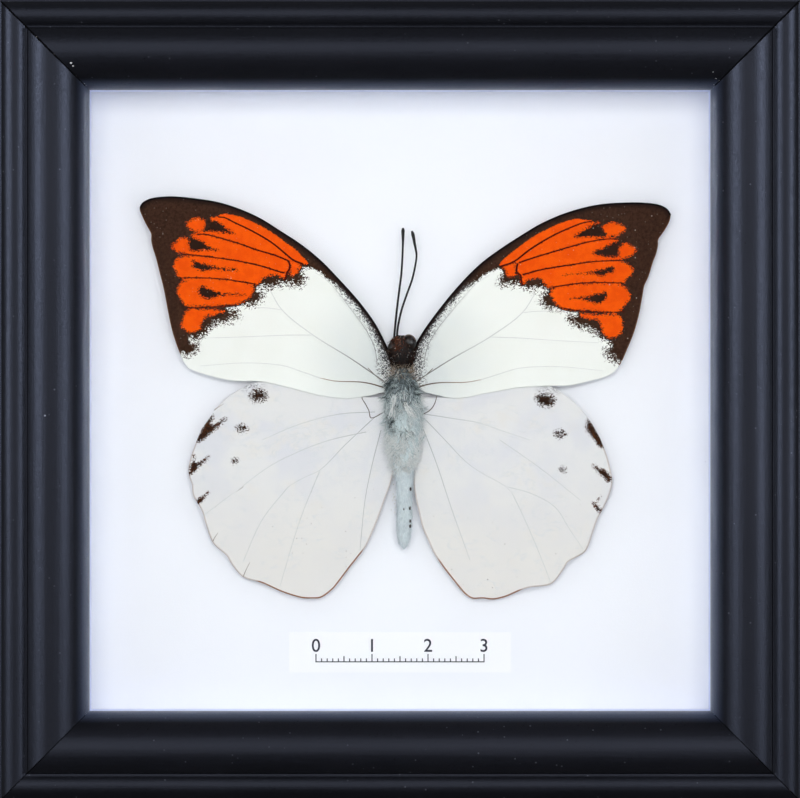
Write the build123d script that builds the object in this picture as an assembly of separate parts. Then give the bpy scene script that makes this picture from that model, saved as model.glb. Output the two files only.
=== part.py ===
from build123d import *
import math
import os

# Butterfly display case, standing on its bottom rail.
# Millimetres. +X is the viewer's right, the glass faces -Y and +Z is up.
# The origin is the centre of the bottom rail's outer face.

# ---- case and moulding ----
case_width = 140.0
case_height = 140.0
moulding_width = 15.4
bead_inset = 0.45
bead_width = 4.3
bead_rise = 0.95
bead_setback = 1.3
quirk_width = 0.45
torus_radius = 6.65
torus_shoulder_drop = 1.25
lip_land = 1.15
rebate_width = 4.9

# ---- layers behind the lip, from front to back ----
glass_thickness = 2.0
chamber_depth = 7.0
card_thickness = 0.5
pad_thickness = 5.0
board_thickness = 2.5
board_recess = 0.2
packing_clearance = 0.3
lining_setback = 0.5

# ---- corner nails ----
nail_leg = 3.0
nail_sheet = 0.6
nail_depth = 7.0
nail_first_inset = 2.2
nail_pitch = 4.0

# ---- caption strip ----
label_width = 39.6
label_height = 7.1
label_thickness = 0.15
label_rise = 9.6

# ---- turn buttons ----
button_width = 7.0
button_reach = 9.0
button_thickness = 1.2
button_gap = 0.1
button_bore_clearance = 0.06
button_spread = 70.0
screw_shank_radius = 1.5
screw_head_radius = 2.9
screw_head_height = 1.6
screw_head_edge = 1.0
screw_depth = 10.0
screw_slot_length = 3.4
screw_slot_width = 0.7
screw_slot_depth = 0.7

# ---- hanger ----
hanger_drop = 28.0
strap_width = 9.0
strap_length = 9.5
strap_thickness = 0.8
strap_corner = 2.5
ring_wire_radius = 0.8
ring_bore_clearance = 0.08
ring_side_gap = 0.4
ring_corner = 1.6
ring_leg = 4.6
rivet_drop = 5.4
rivet_radius = 1.2
rivet_head_radius = 2.5
rivet_head_height = 0.8
rivet_head_edge = 0.55
rivet_tail_radius = 2.0
rivet_tail_height = 0.6

# ---- wall bumpers ----
bumper_radius = 4.0
bumper_thickness = 3.4
bumper_edge = 0.8
bumper_inset = 12.0

# ---- specimen ----
specimen_rise = 2.5
body_offset = 0.4
glue_pad_thickness = 0.3
glue_pad_width = 3.4
glue_pad_height = 6.0
thorax_length = 14.8
thorax_radius = 2.9
neck_radius = 1.9
waist_radius = 1.9
thorax_above_root = 3.4
abdomen_length = 17.4
abdomen_radius = 1.5
abdomen_tip_length = 3.2
head_radius = 2.55
head_seat = 0.6
eye_radius = 1.35
eye_spread = 1.45
eye_lift = 0.9
eye_forward = 0.7
antenna_radius = 0.22
antenna_length = 22.4
antenna_forward = 0.5
antenna_base_spread = 0.35
left_antenna_lean = 1.3
left_antenna_bow = 0.25
right_antenna_lean = 2.4
right_antenna_bow = 1.25
club_radius = 0.42
club_length = 2.4
wing_lift = 1.6
wing_thickness = 0.3
wing_root_spread = 2.67
forewing_reach = 43.6
forewing_rise = 33.6
hindwing_reach = 35.0
hindwing_drop = 38.0
right_wing_growth = 1.012
right_wing_droop = 1.8

# Wing outlines from the wing root: shares of the reach, outward, and of the rise or drop.
# The corners are where two edges of a wing meet.
forewing_tip = (1.000, 0.942)
forewing_rear_corner = (0.796, 0.090)
hindwing_outer_corner = (1.000, -0.389)
forewing_front_edge = [
    (-0.040, 0.110), (0.020, 0.280), (0.102, 0.436), (0.224, 0.614), (0.347, 0.749),
    (0.469, 0.852), (0.592, 0.931), (0.755, 0.984), (0.869, 0.997), (0.959, 0.985), forewing_tip,
]
forewing_outer_edge = [
    forewing_tip, (0.980, 0.873), (0.953, 0.785), (0.935, 0.646), (0.898, 0.487),
    (0.873, 0.317), (0.841, 0.175), forewing_rear_corner,
]
forewing_rear_edge = [
    forewing_rear_corner, (0.694, 0.037), (0.571, 0.021), (0.388, -0.016), (0.204, -0.069),
    (0.094, -0.069), (-0.040, -0.045),
]
hindwing_front_edge = [
    (-0.045, -0.070), (0.204, 0.030), (0.433, 0.050), (0.646, 0.019), (0.789, -0.047),
    (0.901, -0.164), (0.967, -0.281), hindwing_outer_corner,
]
hindwing_outer_edge = [
    hindwing_outer_corner, (0.977, -0.515), (0.921, -0.609), (0.875, -0.740), (0.784, -0.834),
    (0.677, -0.913), (0.524, -0.970), (0.372, -1.000), (0.260, -0.951), (0.137, -0.806),
    (0.031, -0.614), (-0.025, -0.468), (-0.045, -0.380),
]

# The most of a wall that a rounded edge may take.
edge_limit = 0.9

# ---- depths, along Y ----
lip_drop = torus_radius + lip_land
case_depth = (
    lip_drop + glass_thickness + chamber_depth + card_thickness
    + pad_thickness + board_thickness + board_recess
)
face_front = -case_depth / 2
frame_back = case_depth / 2
glass_front = face_front + lip_drop
glass_back = glass_front + glass_thickness
card_front = glass_back + chamber_depth
card_back = card_front + card_thickness
pad_back = card_back + pad_thickness
board_back = pad_back + board_thickness
button_front = frame_back + button_gap
button_back = button_front + button_thickness
screw_head_front = button_back + button_gap

# ---- widths, along X and Z ----
back_wall = moulding_width - rebate_width
pack_inset = back_wall + packing_clearance
lining_inset = moulding_width - lining_setback
button_pivot_x = case_width / 2 - back_wall / 2
case_centre_z = case_height / 2

# ---- specimen datum lines ----
body_y = card_front - glue_pad_thickness - thorax_radius
root_z = case_centre_z + specimen_rise
thorax_top = root_z + thorax_above_root
thorax_bottom = thorax_top - thorax_length
thorax_middle = (thorax_top + thorax_bottom) / 2
head_z = thorax_top + head_radius - head_seat
hindwing_back = card_front - wing_lift
hindwing_front = hindwing_back - wing_thickness
forewing_front = hindwing_front - wing_thickness


def plate(face, front, back):
    """A slab of a face drawn in X and Z, between two depths."""
    return extrude(Plane.XZ.offset(-front) * face, amount=back - front, dir=(0, 1, 0))


def block(left, right, front, back, bottom, top):
    """A straight block between six limits."""
    centre = Pos((left + right) / 2, (front + back) / 2, (bottom + top) / 2)
    return centre * Box(right - left, back - front, top - bottom)


def layer(inset, front, back):
    """A flat layer that fills the case's outline less an inset all round."""
    half = case_width / 2 - inset
    return block(-half, half, front, back, inset, case_height - inset)


def rod(radius, x, z, front, back):
    """A round bar along Y."""
    return Pos(x, (front + back) / 2, z) * Rot(90, 0, 0) * Cylinder(radius, back - front)


# ---- moulding ----
def moulding_section():
    """Section of the moulding: depth from front to back, and width from the outer edge."""
    groove = bead_setback + bead_rise
    bead_end = bead_inset + bead_width
    torus_start = bead_end + quirk_width
    crest = moulding_width - torus_radius
    run = crest - torus_start
    shoulder_radius = (run**2 + torus_shoulder_drop**2) / (2 * torus_shoulder_drop)
    half_turn = math.atan2(run, shoulder_radius - torus_shoulder_drop) / 2
    eighth = math.sqrt(0.5)

    def at(drop, across):
        return (face_front + drop, across)

    bead = ThreePointArc(
        at(groove, bead_inset), at(bead_setback, bead_inset + bead_width / 2), at(groove, bead_end)
    )
    quirk = Polyline(at(groove, bead_end), at(groove, torus_start), at(torus_shoulder_drop, torus_start))
    shoulder = ThreePointArc(
        at(torus_shoulder_drop, torus_start),
        at(
            shoulder_radius * (1 - math.cos(half_turn)),
            crest - shoulder_radius * math.sin(half_turn),
        ),
        at(0, crest),
    )
    torus = ThreePointArc(
        at(0, crest),
        at(torus_radius * (1 - eighth), crest + torus_radius * eighth),
        at(torus_radius, moulding_width),
    )
    back = Polyline(
        at(torus_radius, moulding_width),
        at(lip_drop, moulding_width),
        at(lip_drop, back_wall),
        at(case_depth, back_wall),
        at(case_depth, 0),
        at(groove, 0),
        at(groove, bead_inset),
    )
    return make_face(bead + quirk + shoulder + torus + back)


def moulding_bar(length):
    """One mitred length of moulding, lying as the bottom rail."""
    half = length / 2
    bar = extrude(Plane.YZ * moulding_section(), amount=half, both=True)
    mitred = Polygon(
        (-half, 0),
        (half, 0),
        (half - moulding_width, moulding_width),
        (-half + moulding_width, moulding_width),
        align=None,
    )
    return bar & plate(mitred, face_front, frame_back)


def turned(bar, angle, half_span):
    """Stand the bottom bar on another side of the case."""
    return Pos(0, 0, case_centre_z) * Rot(0, angle, 0) * Pos(0, 0, -half_span) * bar


# ---- corner nails ----
def corner_nails():
    """Two V-nails across the back of each mitre."""
    nails = []
    for side in (-1, 1):
        for low in (True, False):
            for index in range(2):
                start = nail_first_inset + index * nail_pitch
                near = start + nail_sheet
                far = start + nail_leg
                profile = [
                    (start, start), (far, start), (far, near),
                    (near, near), (near, far), (start, far),
                ]
                corners = [
                    (side * (case_width / 2 - across), up if low else case_height - up)
                    for across, up in profile
                ]
                outline = make_face(Polyline(*corners, close=True))
                nails.append(plate(outline, frame_back - nail_depth, frame_back))
    return nails


# ---- turn buttons ----
def button_places():
    """Name, side and height of each turn button."""
    return [
        (f"turn_button_{end}_{hand}", side, case_centre_z + level * button_spread / 2)
        for hand, side in (("left", -1), ("right", 1))
        for end, level in (("upper", 1), ("lower", -1))
    ]


def turn_button(side, z):
    """A round-ended steel plate that pivots on its screw and reaches over the back."""
    pivot = (side * button_pivot_x, z)
    outline = SlotCenterToCenter(button_reach, button_width)
    bore = Circle(screw_shank_radius + button_bore_clearance)
    flat = Pos(pivot[0] - side * button_reach / 2, z) * outline - Pos(*pivot) * bore
    return plate(flat, button_front, button_back)


def button_screw(side, z):
    """A pan-head cross-slot wood screw."""
    x = side * button_pivot_x
    head_back = screw_head_front + screw_head_height
    head = rod(screw_head_radius, x, z, screw_head_front, head_back)
    rim = head.edges().filter_by(GeomType.CIRCLE).sort_by(Axis.Y)[-1]
    head = fillet(rim, min(screw_head_edge, edge_limit * screw_head_height))
    arm = screw_slot_length / 2
    half = screw_slot_width / 2
    floor = head_back - screw_slot_depth
    upright = block(x - half, x + half, floor, head_back, z - arm, z + arm)
    across = block(x - arm, x + arm, floor, head_back, z - half, z + half)
    shank = rod(screw_shank_radius, x, z, frame_back - screw_depth, screw_head_front)
    return head + shank - upright - across


# ---- hanger ----
hanger_z = case_height - hanger_drop
eye_bore_radius = ring_wire_radius + ring_bore_clearance
eye_outer_radius = eye_bore_radius + strap_thickness
ring_y = board_back + eye_outer_radius
ring_half_width = strap_width / 2 + ring_side_gap + ring_corner
rivet_z = hanger_z - rivet_drop
strap_back = board_back + strap_thickness


def hanger_rivet():
    """A domed rivet through the strap and the back."""
    head = rod(rivet_head_radius, 0, rivet_z, strap_back, strap_back + rivet_head_height)
    rim = head.edges().filter_by(GeomType.CIRCLE).sort_by(Axis.Y)[-1]
    head = fillet(rim, min(rivet_head_edge, edge_limit * rivet_head_height))
    shank = rod(rivet_radius, 0, rivet_z, pad_back, strap_back)
    tail = rod(rivet_tail_radius, 0, rivet_z, pad_back - rivet_tail_height, pad_back)
    return head + shank + tail


def hanger_strap(rivet):
    """A flat tongue whose upper end is rolled into an eye for the ring."""
    tongue = Rectangle(strap_width, strap_length, align=(Align.CENTER, Align.MAX))
    tongue = fillet(tongue.vertices().group_by(Axis.Y)[0], min(strap_corner, edge_limit * strap_width / 2))
    flat = plate(Pos(0, hanger_z) * tongue, board_back, strap_back)
    across = Plane((0, ring_y, hanger_z), x_dir=(0, 1, 0), z_dir=(1, 0, 0))
    roll = extrude(across * Circle(eye_outer_radius), amount=strap_width / 2, both=True)
    bore = extrude(across * Circle(eye_bore_radius), amount=strap_width / 2, both=True)
    return flat + roll - bore - rivet


def hanger_ring():
    """A round-wire D ring that hangs from the eye."""
    half = ring_half_width
    drop = ring_corner + ring_leg
    eighth = math.sqrt(0.5)
    corner_mid = ring_corner * (1 - eighth)
    top = Line((-half + ring_corner, 0), (half - ring_corner, 0))
    right_corner = ThreePointArc(
        (half - ring_corner, 0), (half - corner_mid, -corner_mid), (half, -ring_corner)
    )
    right_leg = Line((half, -ring_corner), (half, -drop))
    bow = ThreePointArc((half, -drop), (0, -drop - half), (-half, -drop))
    left_leg = Line((-half, -drop), (-half, -ring_corner))
    left_corner = ThreePointArc(
        (-half, -ring_corner), (-half + corner_mid, -corner_mid), (-half + ring_corner, 0)
    )
    path = Wire([top, right_corner, right_leg, bow, left_leg, left_corner])
    path = Pos(0, ring_y, hanger_z) * (Plane.XZ * path)
    start = Plane((-half + ring_corner, ring_y, hanger_z), x_dir=(0, 1, 0), z_dir=(1, 0, 0))
    return sweep(start * Circle(ring_wire_radius), path=path)


# ---- wall bumpers ----
def wall_bumpers():
    """Two round pads on the back of the bottom rail."""
    pads = []
    for side in (-1, 1):
        x = side * (case_width / 2 - bumper_inset)
        pad = rod(bumper_radius, x, back_wall / 2, frame_back, frame_back + bumper_thickness)
        rim = pad.edges().filter_by(GeomType.CIRCLE).sort_by(Axis.Y)[-1]
        pads.append(fillet(rim, min(bumper_edge, edge_limit * bumper_thickness)))
    return pads


# ---- specimen ----
def body_axis(face):
    """Spin a half outline, drawn in X and Z, about the body's own axis."""
    return Pos(body_offset, body_y, 0) * revolve(Plane.XZ * face, axis=Axis.Z)


def thorax():
    """A spindle, widest at its middle."""
    side = Spline(
        (neck_radius, thorax_top), (thorax_radius, thorax_middle), (waist_radius, thorax_bottom)
    )
    ends = Polyline(
        (waist_radius, thorax_bottom), (0, thorax_bottom), (0, thorax_top), (neck_radius, thorax_top)
    )
    return body_axis(make_face(side + ends))


def abdomen():
    """A slim taper with a round tip."""
    tip = thorax_bottom - abdomen_length
    tip_start = tip + abdomen_tip_length
    side = Line((waist_radius, thorax_bottom), (abdomen_radius, tip_start))
    end = Spline((abdomen_radius, tip_start), (0, tip), tangents=((0, -1), (-1, 0)))
    core = Polyline((0, tip), (0, thorax_bottom), (waist_radius, thorax_bottom))
    return body_axis(make_face(side + end + core))


def eye(side):
    """One round eye on the front of the head."""
    place = Pos(body_offset + side * eye_spread, body_y - eye_forward, head_z + eye_lift)
    return place * Sphere(eye_radius)


def antenna(side, lean, bow, body):
    """A thin bowed feeler, cut where it enters the head, that ends in a club."""
    x = body_offset + side * antenna_base_spread
    foot = head_z
    top = foot + antenna_length
    middle = (x + lean / 2 + bow, (foot + top) / 2)
    line = ThreePointArc((x, foot), middle, (x + lean, top))
    line = Pos(0, body_y - antenna_forward, 0) * (Plane.XZ * line)
    start = Plane(line @ 0, z_dir=line % 0)
    shaft = sweep(start * Circle(antenna_radius), path=line) - body
    taper = club_length - club_radius
    tip = Plane(line @ 1, z_dir=line % 1).location
    cone = Cone(antenna_radius, club_radius, taper, align=(Align.CENTER, Align.CENTER, Align.MAX))
    return shaft + tip * cone + tip * Sphere(club_radius)


def glue_pad(body):
    """The pad that carries the thorax off the card."""
    half_width = glue_pad_width / 2
    half_height = glue_pad_height / 2
    pad = block(
        body_offset - half_width,
        body_offset + half_width,
        body_y + thorax_radius / 2,
        card_front,
        thorax_middle - half_height,
        thorax_middle + half_height,
    )
    return (pad - body).solids().sort_by(Axis.Y)[-1]


def wing(stretches, reach, height, side, front):
    """A flat wing: splines through the outline's points, closed inside the thorax."""
    growth = right_wing_growth if side > 0 else 1.0
    droop = math.radians(right_wing_droop) if side > 0 else 0.0

    def place(point):
        out = point[0] * reach * growth
        up = point[1] * height * growth
        turned_out = out * math.cos(droop) + up * math.sin(droop)
        turned_up = up * math.cos(droop) - out * math.sin(droop)
        return (side * (wing_root_spread + turned_out), root_z + turned_up)

    edges = [Spline(*[place(point) for point in stretch]) for stretch in stretches]
    closing = Line(place(stretches[-1][-1]), place(stretches[0][0]))
    return plate(make_face(edges + [closing]), front, front + wing_thickness)


def write(shape, node):
    """Write one node."""
    export_step(shape, f"parts/{node}.step")


os.makedirs("parts", exist_ok=True)

# ---- frame, with sockets for its nails and screws ----
nails = corner_nails()
screws = [button_screw(side, z) for _, side, z in button_places()]
bars = {
    "frame_rail_bottom": moulding_bar(case_width),
    "frame_rail_top": turned(moulding_bar(case_width), 180, case_height / 2),
    "frame_stile_left": turned(moulding_bar(case_height), 90, case_width / 2),
    "frame_stile_right": turned(moulding_bar(case_height), -90, case_width / 2),
}
for node, bar in bars.items():
    write(bar - nails - screws, node)
write(Compound(children=nails), "corner_v_nails")

# ---- layers, from front to back ----
write(layer(pack_inset, glass_front, glass_back), "front_glass")
outer = case_width / 2 - pack_inset
inner = case_width / 2 - lining_inset
top_outer = case_height - pack_inset
top_inner = case_height - lining_inset
linings = {
    "lining_top": (-outer, outer, top_inner, top_outer),
    "lining_bottom": (-outer, outer, pack_inset, lining_inset),
    "lining_left": (-outer, -inner, lining_inset, top_inner),
    "lining_right": (inner, outer, lining_inset, top_inner),
}
for node, (left, right, bottom, top) in linings.items():
    write(block(left, right, glass_back, card_front, bottom, top), node)
write(layer(pack_inset, card_front, card_back), "mount_card")

label_front = card_front - label_thickness
label_bottom = moulding_width + label_rise - label_height / 2
label_top = label_bottom + label_height
label = block(-label_width / 2, label_width / 2, label_front, card_front, label_bottom, label_top)
write(label, "caption_strip")

rivet = hanger_rivet()
write(layer(pack_inset, card_back, pad_back) - rivet, "backing_pad")
write(layer(pack_inset, pad_back, board_back) - rivet, "back_board")

# ---- fittings on the back ----
write(rivet, "hanger_rivet")
write(hanger_strap(rivet), "hanger_strap")
write(hanger_ring(), "hanger_ring")
write(Compound(children=wall_bumpers()), "wall_bumpers")
for node, side, z in button_places():
    write(turn_button(side, z), node)
write(Compound(children=screws), "turn_button_screws")

# ---- specimen ----
chest = thorax()
tail = abdomen()
eyes = {"eye_left": eye(-1), "eye_right": eye(1)}
skull = Pos(body_offset, body_y, head_z) * Sphere(head_radius) - chest - list(eyes.values())
trunk = [chest, tail, skull] + list(eyes.values())
write(chest, "thorax")
write(tail, "abdomen")
write(skull, "head")
for node, ball in eyes.items():
    write(ball, node)
write(antenna(-1, left_antenna_lean, left_antenna_bow, trunk), "antenna_left")
write(antenna(1, right_antenna_lean, right_antenna_bow, trunk), "antenna_right")
write(glue_pad(chest), "glue_pad")

forewing = [forewing_front_edge, forewing_outer_edge, forewing_rear_edge]
hindwing = [hindwing_front_edge, hindwing_outer_edge]
for hand, side in (("left", -1), ("right", 1)):
    fore = wing(forewing, forewing_reach, forewing_rise, side, forewing_front)
    hind = wing(hindwing, hindwing_reach, hindwing_drop, side, hindwing_front)
    write(fore - trunk, f"forewing_{hand}")
    write(hind - trunk, f"hindwing_{hand}")
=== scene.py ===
"""Butterfly display case: the looks of the case, its back fittings and the mounted specimen."""

import logging
import math
import random
from dataclasses import dataclass, field
from enum import Enum
from typing import Any, Callable, Iterable, Sequence

import bmesh
import bpy
import numpy as np
from mathutils import Matrix, Vector

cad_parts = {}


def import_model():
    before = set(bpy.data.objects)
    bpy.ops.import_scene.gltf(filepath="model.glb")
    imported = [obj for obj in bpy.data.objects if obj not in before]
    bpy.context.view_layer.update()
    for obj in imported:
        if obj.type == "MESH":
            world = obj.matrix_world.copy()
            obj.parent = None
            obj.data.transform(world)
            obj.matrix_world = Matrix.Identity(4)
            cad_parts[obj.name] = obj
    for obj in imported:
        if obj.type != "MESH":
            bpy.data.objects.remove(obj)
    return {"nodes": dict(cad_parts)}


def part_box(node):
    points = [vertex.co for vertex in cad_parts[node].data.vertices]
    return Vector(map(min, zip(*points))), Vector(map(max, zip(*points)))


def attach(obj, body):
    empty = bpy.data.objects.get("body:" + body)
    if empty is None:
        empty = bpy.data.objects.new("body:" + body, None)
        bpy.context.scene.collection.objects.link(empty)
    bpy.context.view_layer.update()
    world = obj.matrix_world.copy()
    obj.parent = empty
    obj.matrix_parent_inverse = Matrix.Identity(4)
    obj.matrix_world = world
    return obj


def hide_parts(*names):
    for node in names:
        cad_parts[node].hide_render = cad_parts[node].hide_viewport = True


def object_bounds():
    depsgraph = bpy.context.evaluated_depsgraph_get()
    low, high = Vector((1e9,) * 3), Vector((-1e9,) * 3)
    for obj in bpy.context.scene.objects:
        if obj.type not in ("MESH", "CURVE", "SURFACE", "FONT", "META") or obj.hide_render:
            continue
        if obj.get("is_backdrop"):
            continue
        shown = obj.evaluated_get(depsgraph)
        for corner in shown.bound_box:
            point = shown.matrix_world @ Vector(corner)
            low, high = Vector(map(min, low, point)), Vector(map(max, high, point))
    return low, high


LOG = logging.getLogger("butterfly_case")

Pixel = tuple[float, float]
Outline = Sequence[Pixel]
Colour = tuple[float, float, float]
Socket = bpy.types.NodeSocket

MM = 0.001
CASE_BODY = "case"


def srgb(red: float, green: float, blue: float) -> Colour:
    """Turn an 8-bit display colour into the linear colour that shaders take.

    Args:
        red, green, blue: the display values, from 0 to 255.

    Returns:
        The linear colour.
    """

    def linear(value: float) -> float:
        """Undo the display curve for one channel."""
        share = value / 255
        return share / 12.92 if share <= 0.04045 else ((share + 0.055) / 1.055) ** 2.4

    return linear(red), linear(green), linear(blue)


class Side(Enum):
    """Which of a pair a piece is, and the sign of its X."""

    LEFT = -1
    RIGHT = 1

    @property
    def hand(self) -> str:
        """The word that node names use."""
        return self.name.lower()


# ---------------------------------------------------------------------------
# Shader trees
# ---------------------------------------------------------------------------


class Shader:
    """One material's node tree, built by short calls."""

    def __init__(self, name: str) -> None:
        """Start an empty material.

        Args:
            name: the material's name.
        """
        self.material = bpy.data.materials.new(name)
        self.material.use_nodes = True
        self.tree = self.material.node_tree
        self.tree.nodes.clear()
        self.output = self.tree.nodes.new("ShaderNodeOutputMaterial")
        self.place = self.tree.nodes.new("ShaderNodeTexCoord").outputs["Object"]

    def node(self, kind: str, feeds: dict[Any, Any] | None = None, **settings: Any) -> bpy.types.Node:
        """Add a node.

        Args:
            kind: the node's type, less its ShaderNode prefix.
            feeds: what each input gets, a socket or a constant.
            settings: the node's own settings.

        Returns:
            The node.
        """
        made = self.tree.nodes.new("ShaderNode" + kind)
        for name, value in settings.items():
            setattr(made, name, value)
        for name, value in (feeds or {}).items():
            self.feed(made.inputs[name], value)
        return made

    def feed(self, entry: Socket, value: Any) -> None:
        """Link a socket to an input, or set the input's constant."""
        if isinstance(value, bpy.types.NodeSocket):
            self.tree.links.new(value, entry)
        elif isinstance(value, tuple) and len(value) == 3 and entry.type == "RGBA":
            entry.default_value = (*value, 1.0)
        else:
            entry.default_value = value

    def math(self, operation: str, first: Any, second: Any = 0.0, third: Any = 0.0) -> Socket:
        """One arithmetic step."""
        return self.node("Math", {0: first, 1: second, 2: third}, operation=operation).outputs[0]

    def add(self, first: Any, second: Any) -> Socket:
        """Sum of two values."""
        return self.math("ADD", first, second)

    def times(self, first: Any, second: Any) -> Socket:
        """Product of two values."""
        return self.math("MULTIPLY", first, second)

    def most(self, first: Any, second: Any) -> Socket:
        """The larger of two values."""
        return self.math("MAXIMUM", first, second)

    def ramp(self, value: Any, low: float, high: float, start: float = 0.0, end: float = 1.0) -> Socket:
        """Ease from start to end as value goes from low to high."""
        feeds = {"Value": value, "From Min": low, "From Max": high, "To Min": start, "To Max": end}
        return self.node("MapRange", feeds, interpolation_type="SMOOTHSTEP").outputs["Result"]

    def blend(self, share: Any, first: Any, second: Any, mode: str = "MIX") -> Socket:
        """Mix two colours by share."""
        made = self.node("Mix", {}, data_type="RGBA", blend_type=mode)
        for entry, value in ((made.inputs[0], share), (made.inputs[6], first), (made.inputs[7], second)):
            self.feed(entry, value)
        return made.outputs[2]

    def attribute(self, name: str) -> Socket:
        """A float attribute of the mesh."""
        return self.node("Attribute", attribute_name=name).outputs["Fac"]

    def stretched(self, scale: tuple[float, float, float], vector: Socket | None = None) -> Socket:
        """The object's coordinates, or a vector, scaled along each axis."""
        feeds = {"Vector": self.place if vector is None else vector, "Scale": scale}
        return self.node("Mapping", feeds).outputs["Vector"]

    def noise(self, scale: float, detail: float = 2.0, rough: float = 0.5, vector: Socket | None = None) -> Socket:
        """Noise about 0.5, with scale in features per metre."""
        feeds = {
            "Vector": self.place if vector is None else vector,
            "Scale": scale,
            "Detail": detail,
            "Roughness": rough,
        }
        return self.node("TexNoise", feeds).outputs[0]

    def specks(self, per_metre: float, size: float, rarity: float) -> Socket:
        """Sparse round specks: 1 on a speck and 0 elsewhere.

        Args:
            per_metre: cells along a metre.
            size: a speck's radius as a share of its cell.
            rarity: the share of cells that stay bare.

        Returns:
            The mask.
        """
        cells = self.node("TexVoronoi", {"Vector": self.place, "Scale": per_metre})
        drawn = self.node("SeparateColor", {0: cells.outputs["Color"]})
        near = self.ramp(cells.outputs["Distance"], size * 0.6, size, 1.0, 0.0)
        chosen = self.math("GREATER_THAN", drawn.outputs[0], rarity)
        return self.times(near, chosen)

    def grains(self, per_metre: float, vector: Socket | None = None) -> Socket:
        """A value from -0.5 to 0.5 drawn for each small cell, like a wing's single scales."""
        feeds = {"Vector": self.place if vector is None else vector, "Scale": per_metre}
        cells = self.node("TexVoronoi", feeds)
        drawn = self.node("SeparateColor", {0: cells.outputs["Color"]})
        return self.math("SUBTRACT", drawn.outputs[0], 0.5)

    def bump(self, height: Any, depth: float, strength: float = 1.0, over: Socket | None = None) -> Socket:
        """A normal from a height field.

        Args:
            height: the field, about 0 to 1.
            depth: how tall 1 stands, in metres.
            strength: the share of the effect that is kept.
            over: a normal to build on.

        Returns:
            The normal.
        """
        feeds: dict[Any, Any] = {"Height": height, "Distance": depth, "Strength": strength}
        if over is not None:
            feeds["Normal"] = over
        return self.node("Bump", feeds).outputs["Normal"]

    def finish(self, **feeds: Any) -> bpy.types.Material:
        """Close the tree with a Principled shader.

        Args:
            feeds: its inputs, with underscores for the spaces in their names.

        Returns:
            The material.
        """
        inputs = {name.replace("_", " "): value for name, value in feeds.items()}
        surface = self.node("BsdfPrincipled", inputs)
        return self.show(surface.outputs["BSDF"])

    def show(self, surface: Socket) -> bpy.types.Material:
        """Close the tree with a shader's own socket."""
        self.tree.links.new(surface, self.output.inputs["Surface"])
        return self.material


# ---------------------------------------------------------------------------
# Finishes
# ---------------------------------------------------------------------------


@dataclass(frozen=True)
class SatinPaint:
    """Satin black paint over wood, with faint grain and dust, and a painted bluish reflection along the inner lip."""

    colour: Colour = srgb(8, 8, 11)
    dust: Colour = srgb(150, 155, 170)
    sheen: Colour = (0.68, 0.75, 1.0)
    specular: float = 0.14
    roughness: float = 0.34
    grain_pitch: float = 900.0
    # rubbed: the colour of a painted reflection of the pale card on the inner lip, not of worn paint.
    rubbed: Colour = srgb(60, 69, 92)
    middle: float = 70.0 * MM
    opening: float = 54.6 * MM
    rub_widths: tuple[float, float] = (1.75 * MM, 2.1 * MM)

    def make(self, along_x: bool) -> bpy.types.Material:
        """Build the paint.

        Args:
            along_x: True where the length of wood lies along X, else it lies along Z.

        Returns:
            The material.
        """
        shader = Shader("black_paint_rail" if along_x else "black_paint_stile")
        along, across = 0.02, 1.0
        scale = (along, across, across) if along_x else (across, across, along)
        grain = shader.noise(self.grain_pitch, 4.0, 0.6, shader.stretched(scale))
        peel = shader.noise(2400.0, 4.0, 0.75)
        cloud = shader.noise(60.0, 3.0)
        dust = shader.specks(260.0, 0.05, 0.9)
        lint = shader.times(shader.specks(1100.0, 0.2, 0.93), shader.ramp(cloud, 0.35, 0.65, 0.3, 1.0))
        dirt = shader.most(dust, shader.times(lint, 0.16))
        worn = shader.blend(shader.ramp(cloud, 0.3, 0.75, 0.0, 0.5), self.colour, srgb(15, 15, 19))
        # Painted reflection: a band along the inner lip, narrower on the rails than on the stiles, is lightened towards
        # the rubbed colour to stand for the card's gleam on the lip.
        spot = shader.node("SeparateXYZ", {0: shader.place})
        off_x = shader.math("ABSOLUTE", spot.outputs["X"])
        off_z = shader.math("ABSOLUTE", shader.math("SUBTRACT", spot.outputs["Z"], self.middle))
        from_lip = shader.math("SUBTRACT", shader.most(off_x, off_z), self.opening)
        lip = shader.ramp(from_lip, 0.0, self.rub_widths[0 if along_x else 1], 0.9, 0.0)
        worn = shader.blend(shader.times(lip, shader.ramp(peel, 0.2, 0.7, 0.75, 1.0)), worn, self.rubbed)
        colour = shader.blend(dirt, worn, self.dust)
        rough = shader.add(shader.ramp(peel, 0.3, 0.7, -0.07, 0.09), self.roughness)
        rough = shader.add(rough, shader.times(dirt, 0.4))
        normal = shader.bump(grain, 0.00004)
        normal = shader.bump(peel, 0.00003, over=normal)
        return shader.finish(
            Base_Color=colour,
            Roughness=rough,
            Normal=normal,
            Specular_IOR_Level=self.specular,
            Specular_Tint=(*self.sheen, 1.0),
        )


@dataclass(frozen=True)
class SeamPaint:
    """Matt black paint that has run into a joint, with pale crumbs of filler."""

    colour: Colour = srgb(4, 4, 5)
    crumb: Colour = srgb(120, 118, 116)

    def make(self) -> bpy.types.Material:
        """Build the paint."""
        shader = Shader("seam_paint")
        lumps = shader.noise(2600.0, 3.0, 0.6)
        crumbs = shader.times(shader.specks(1900.0, 0.3, 0.93), 0.7)
        colour = shader.blend(crumbs, self.colour, self.crumb)
        return shader.finish(
            Base_Color=colour, Roughness=0.9, Normal=shader.bump(lumps, 0.00003), Specular_IOR_Level=0.02
        )


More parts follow.
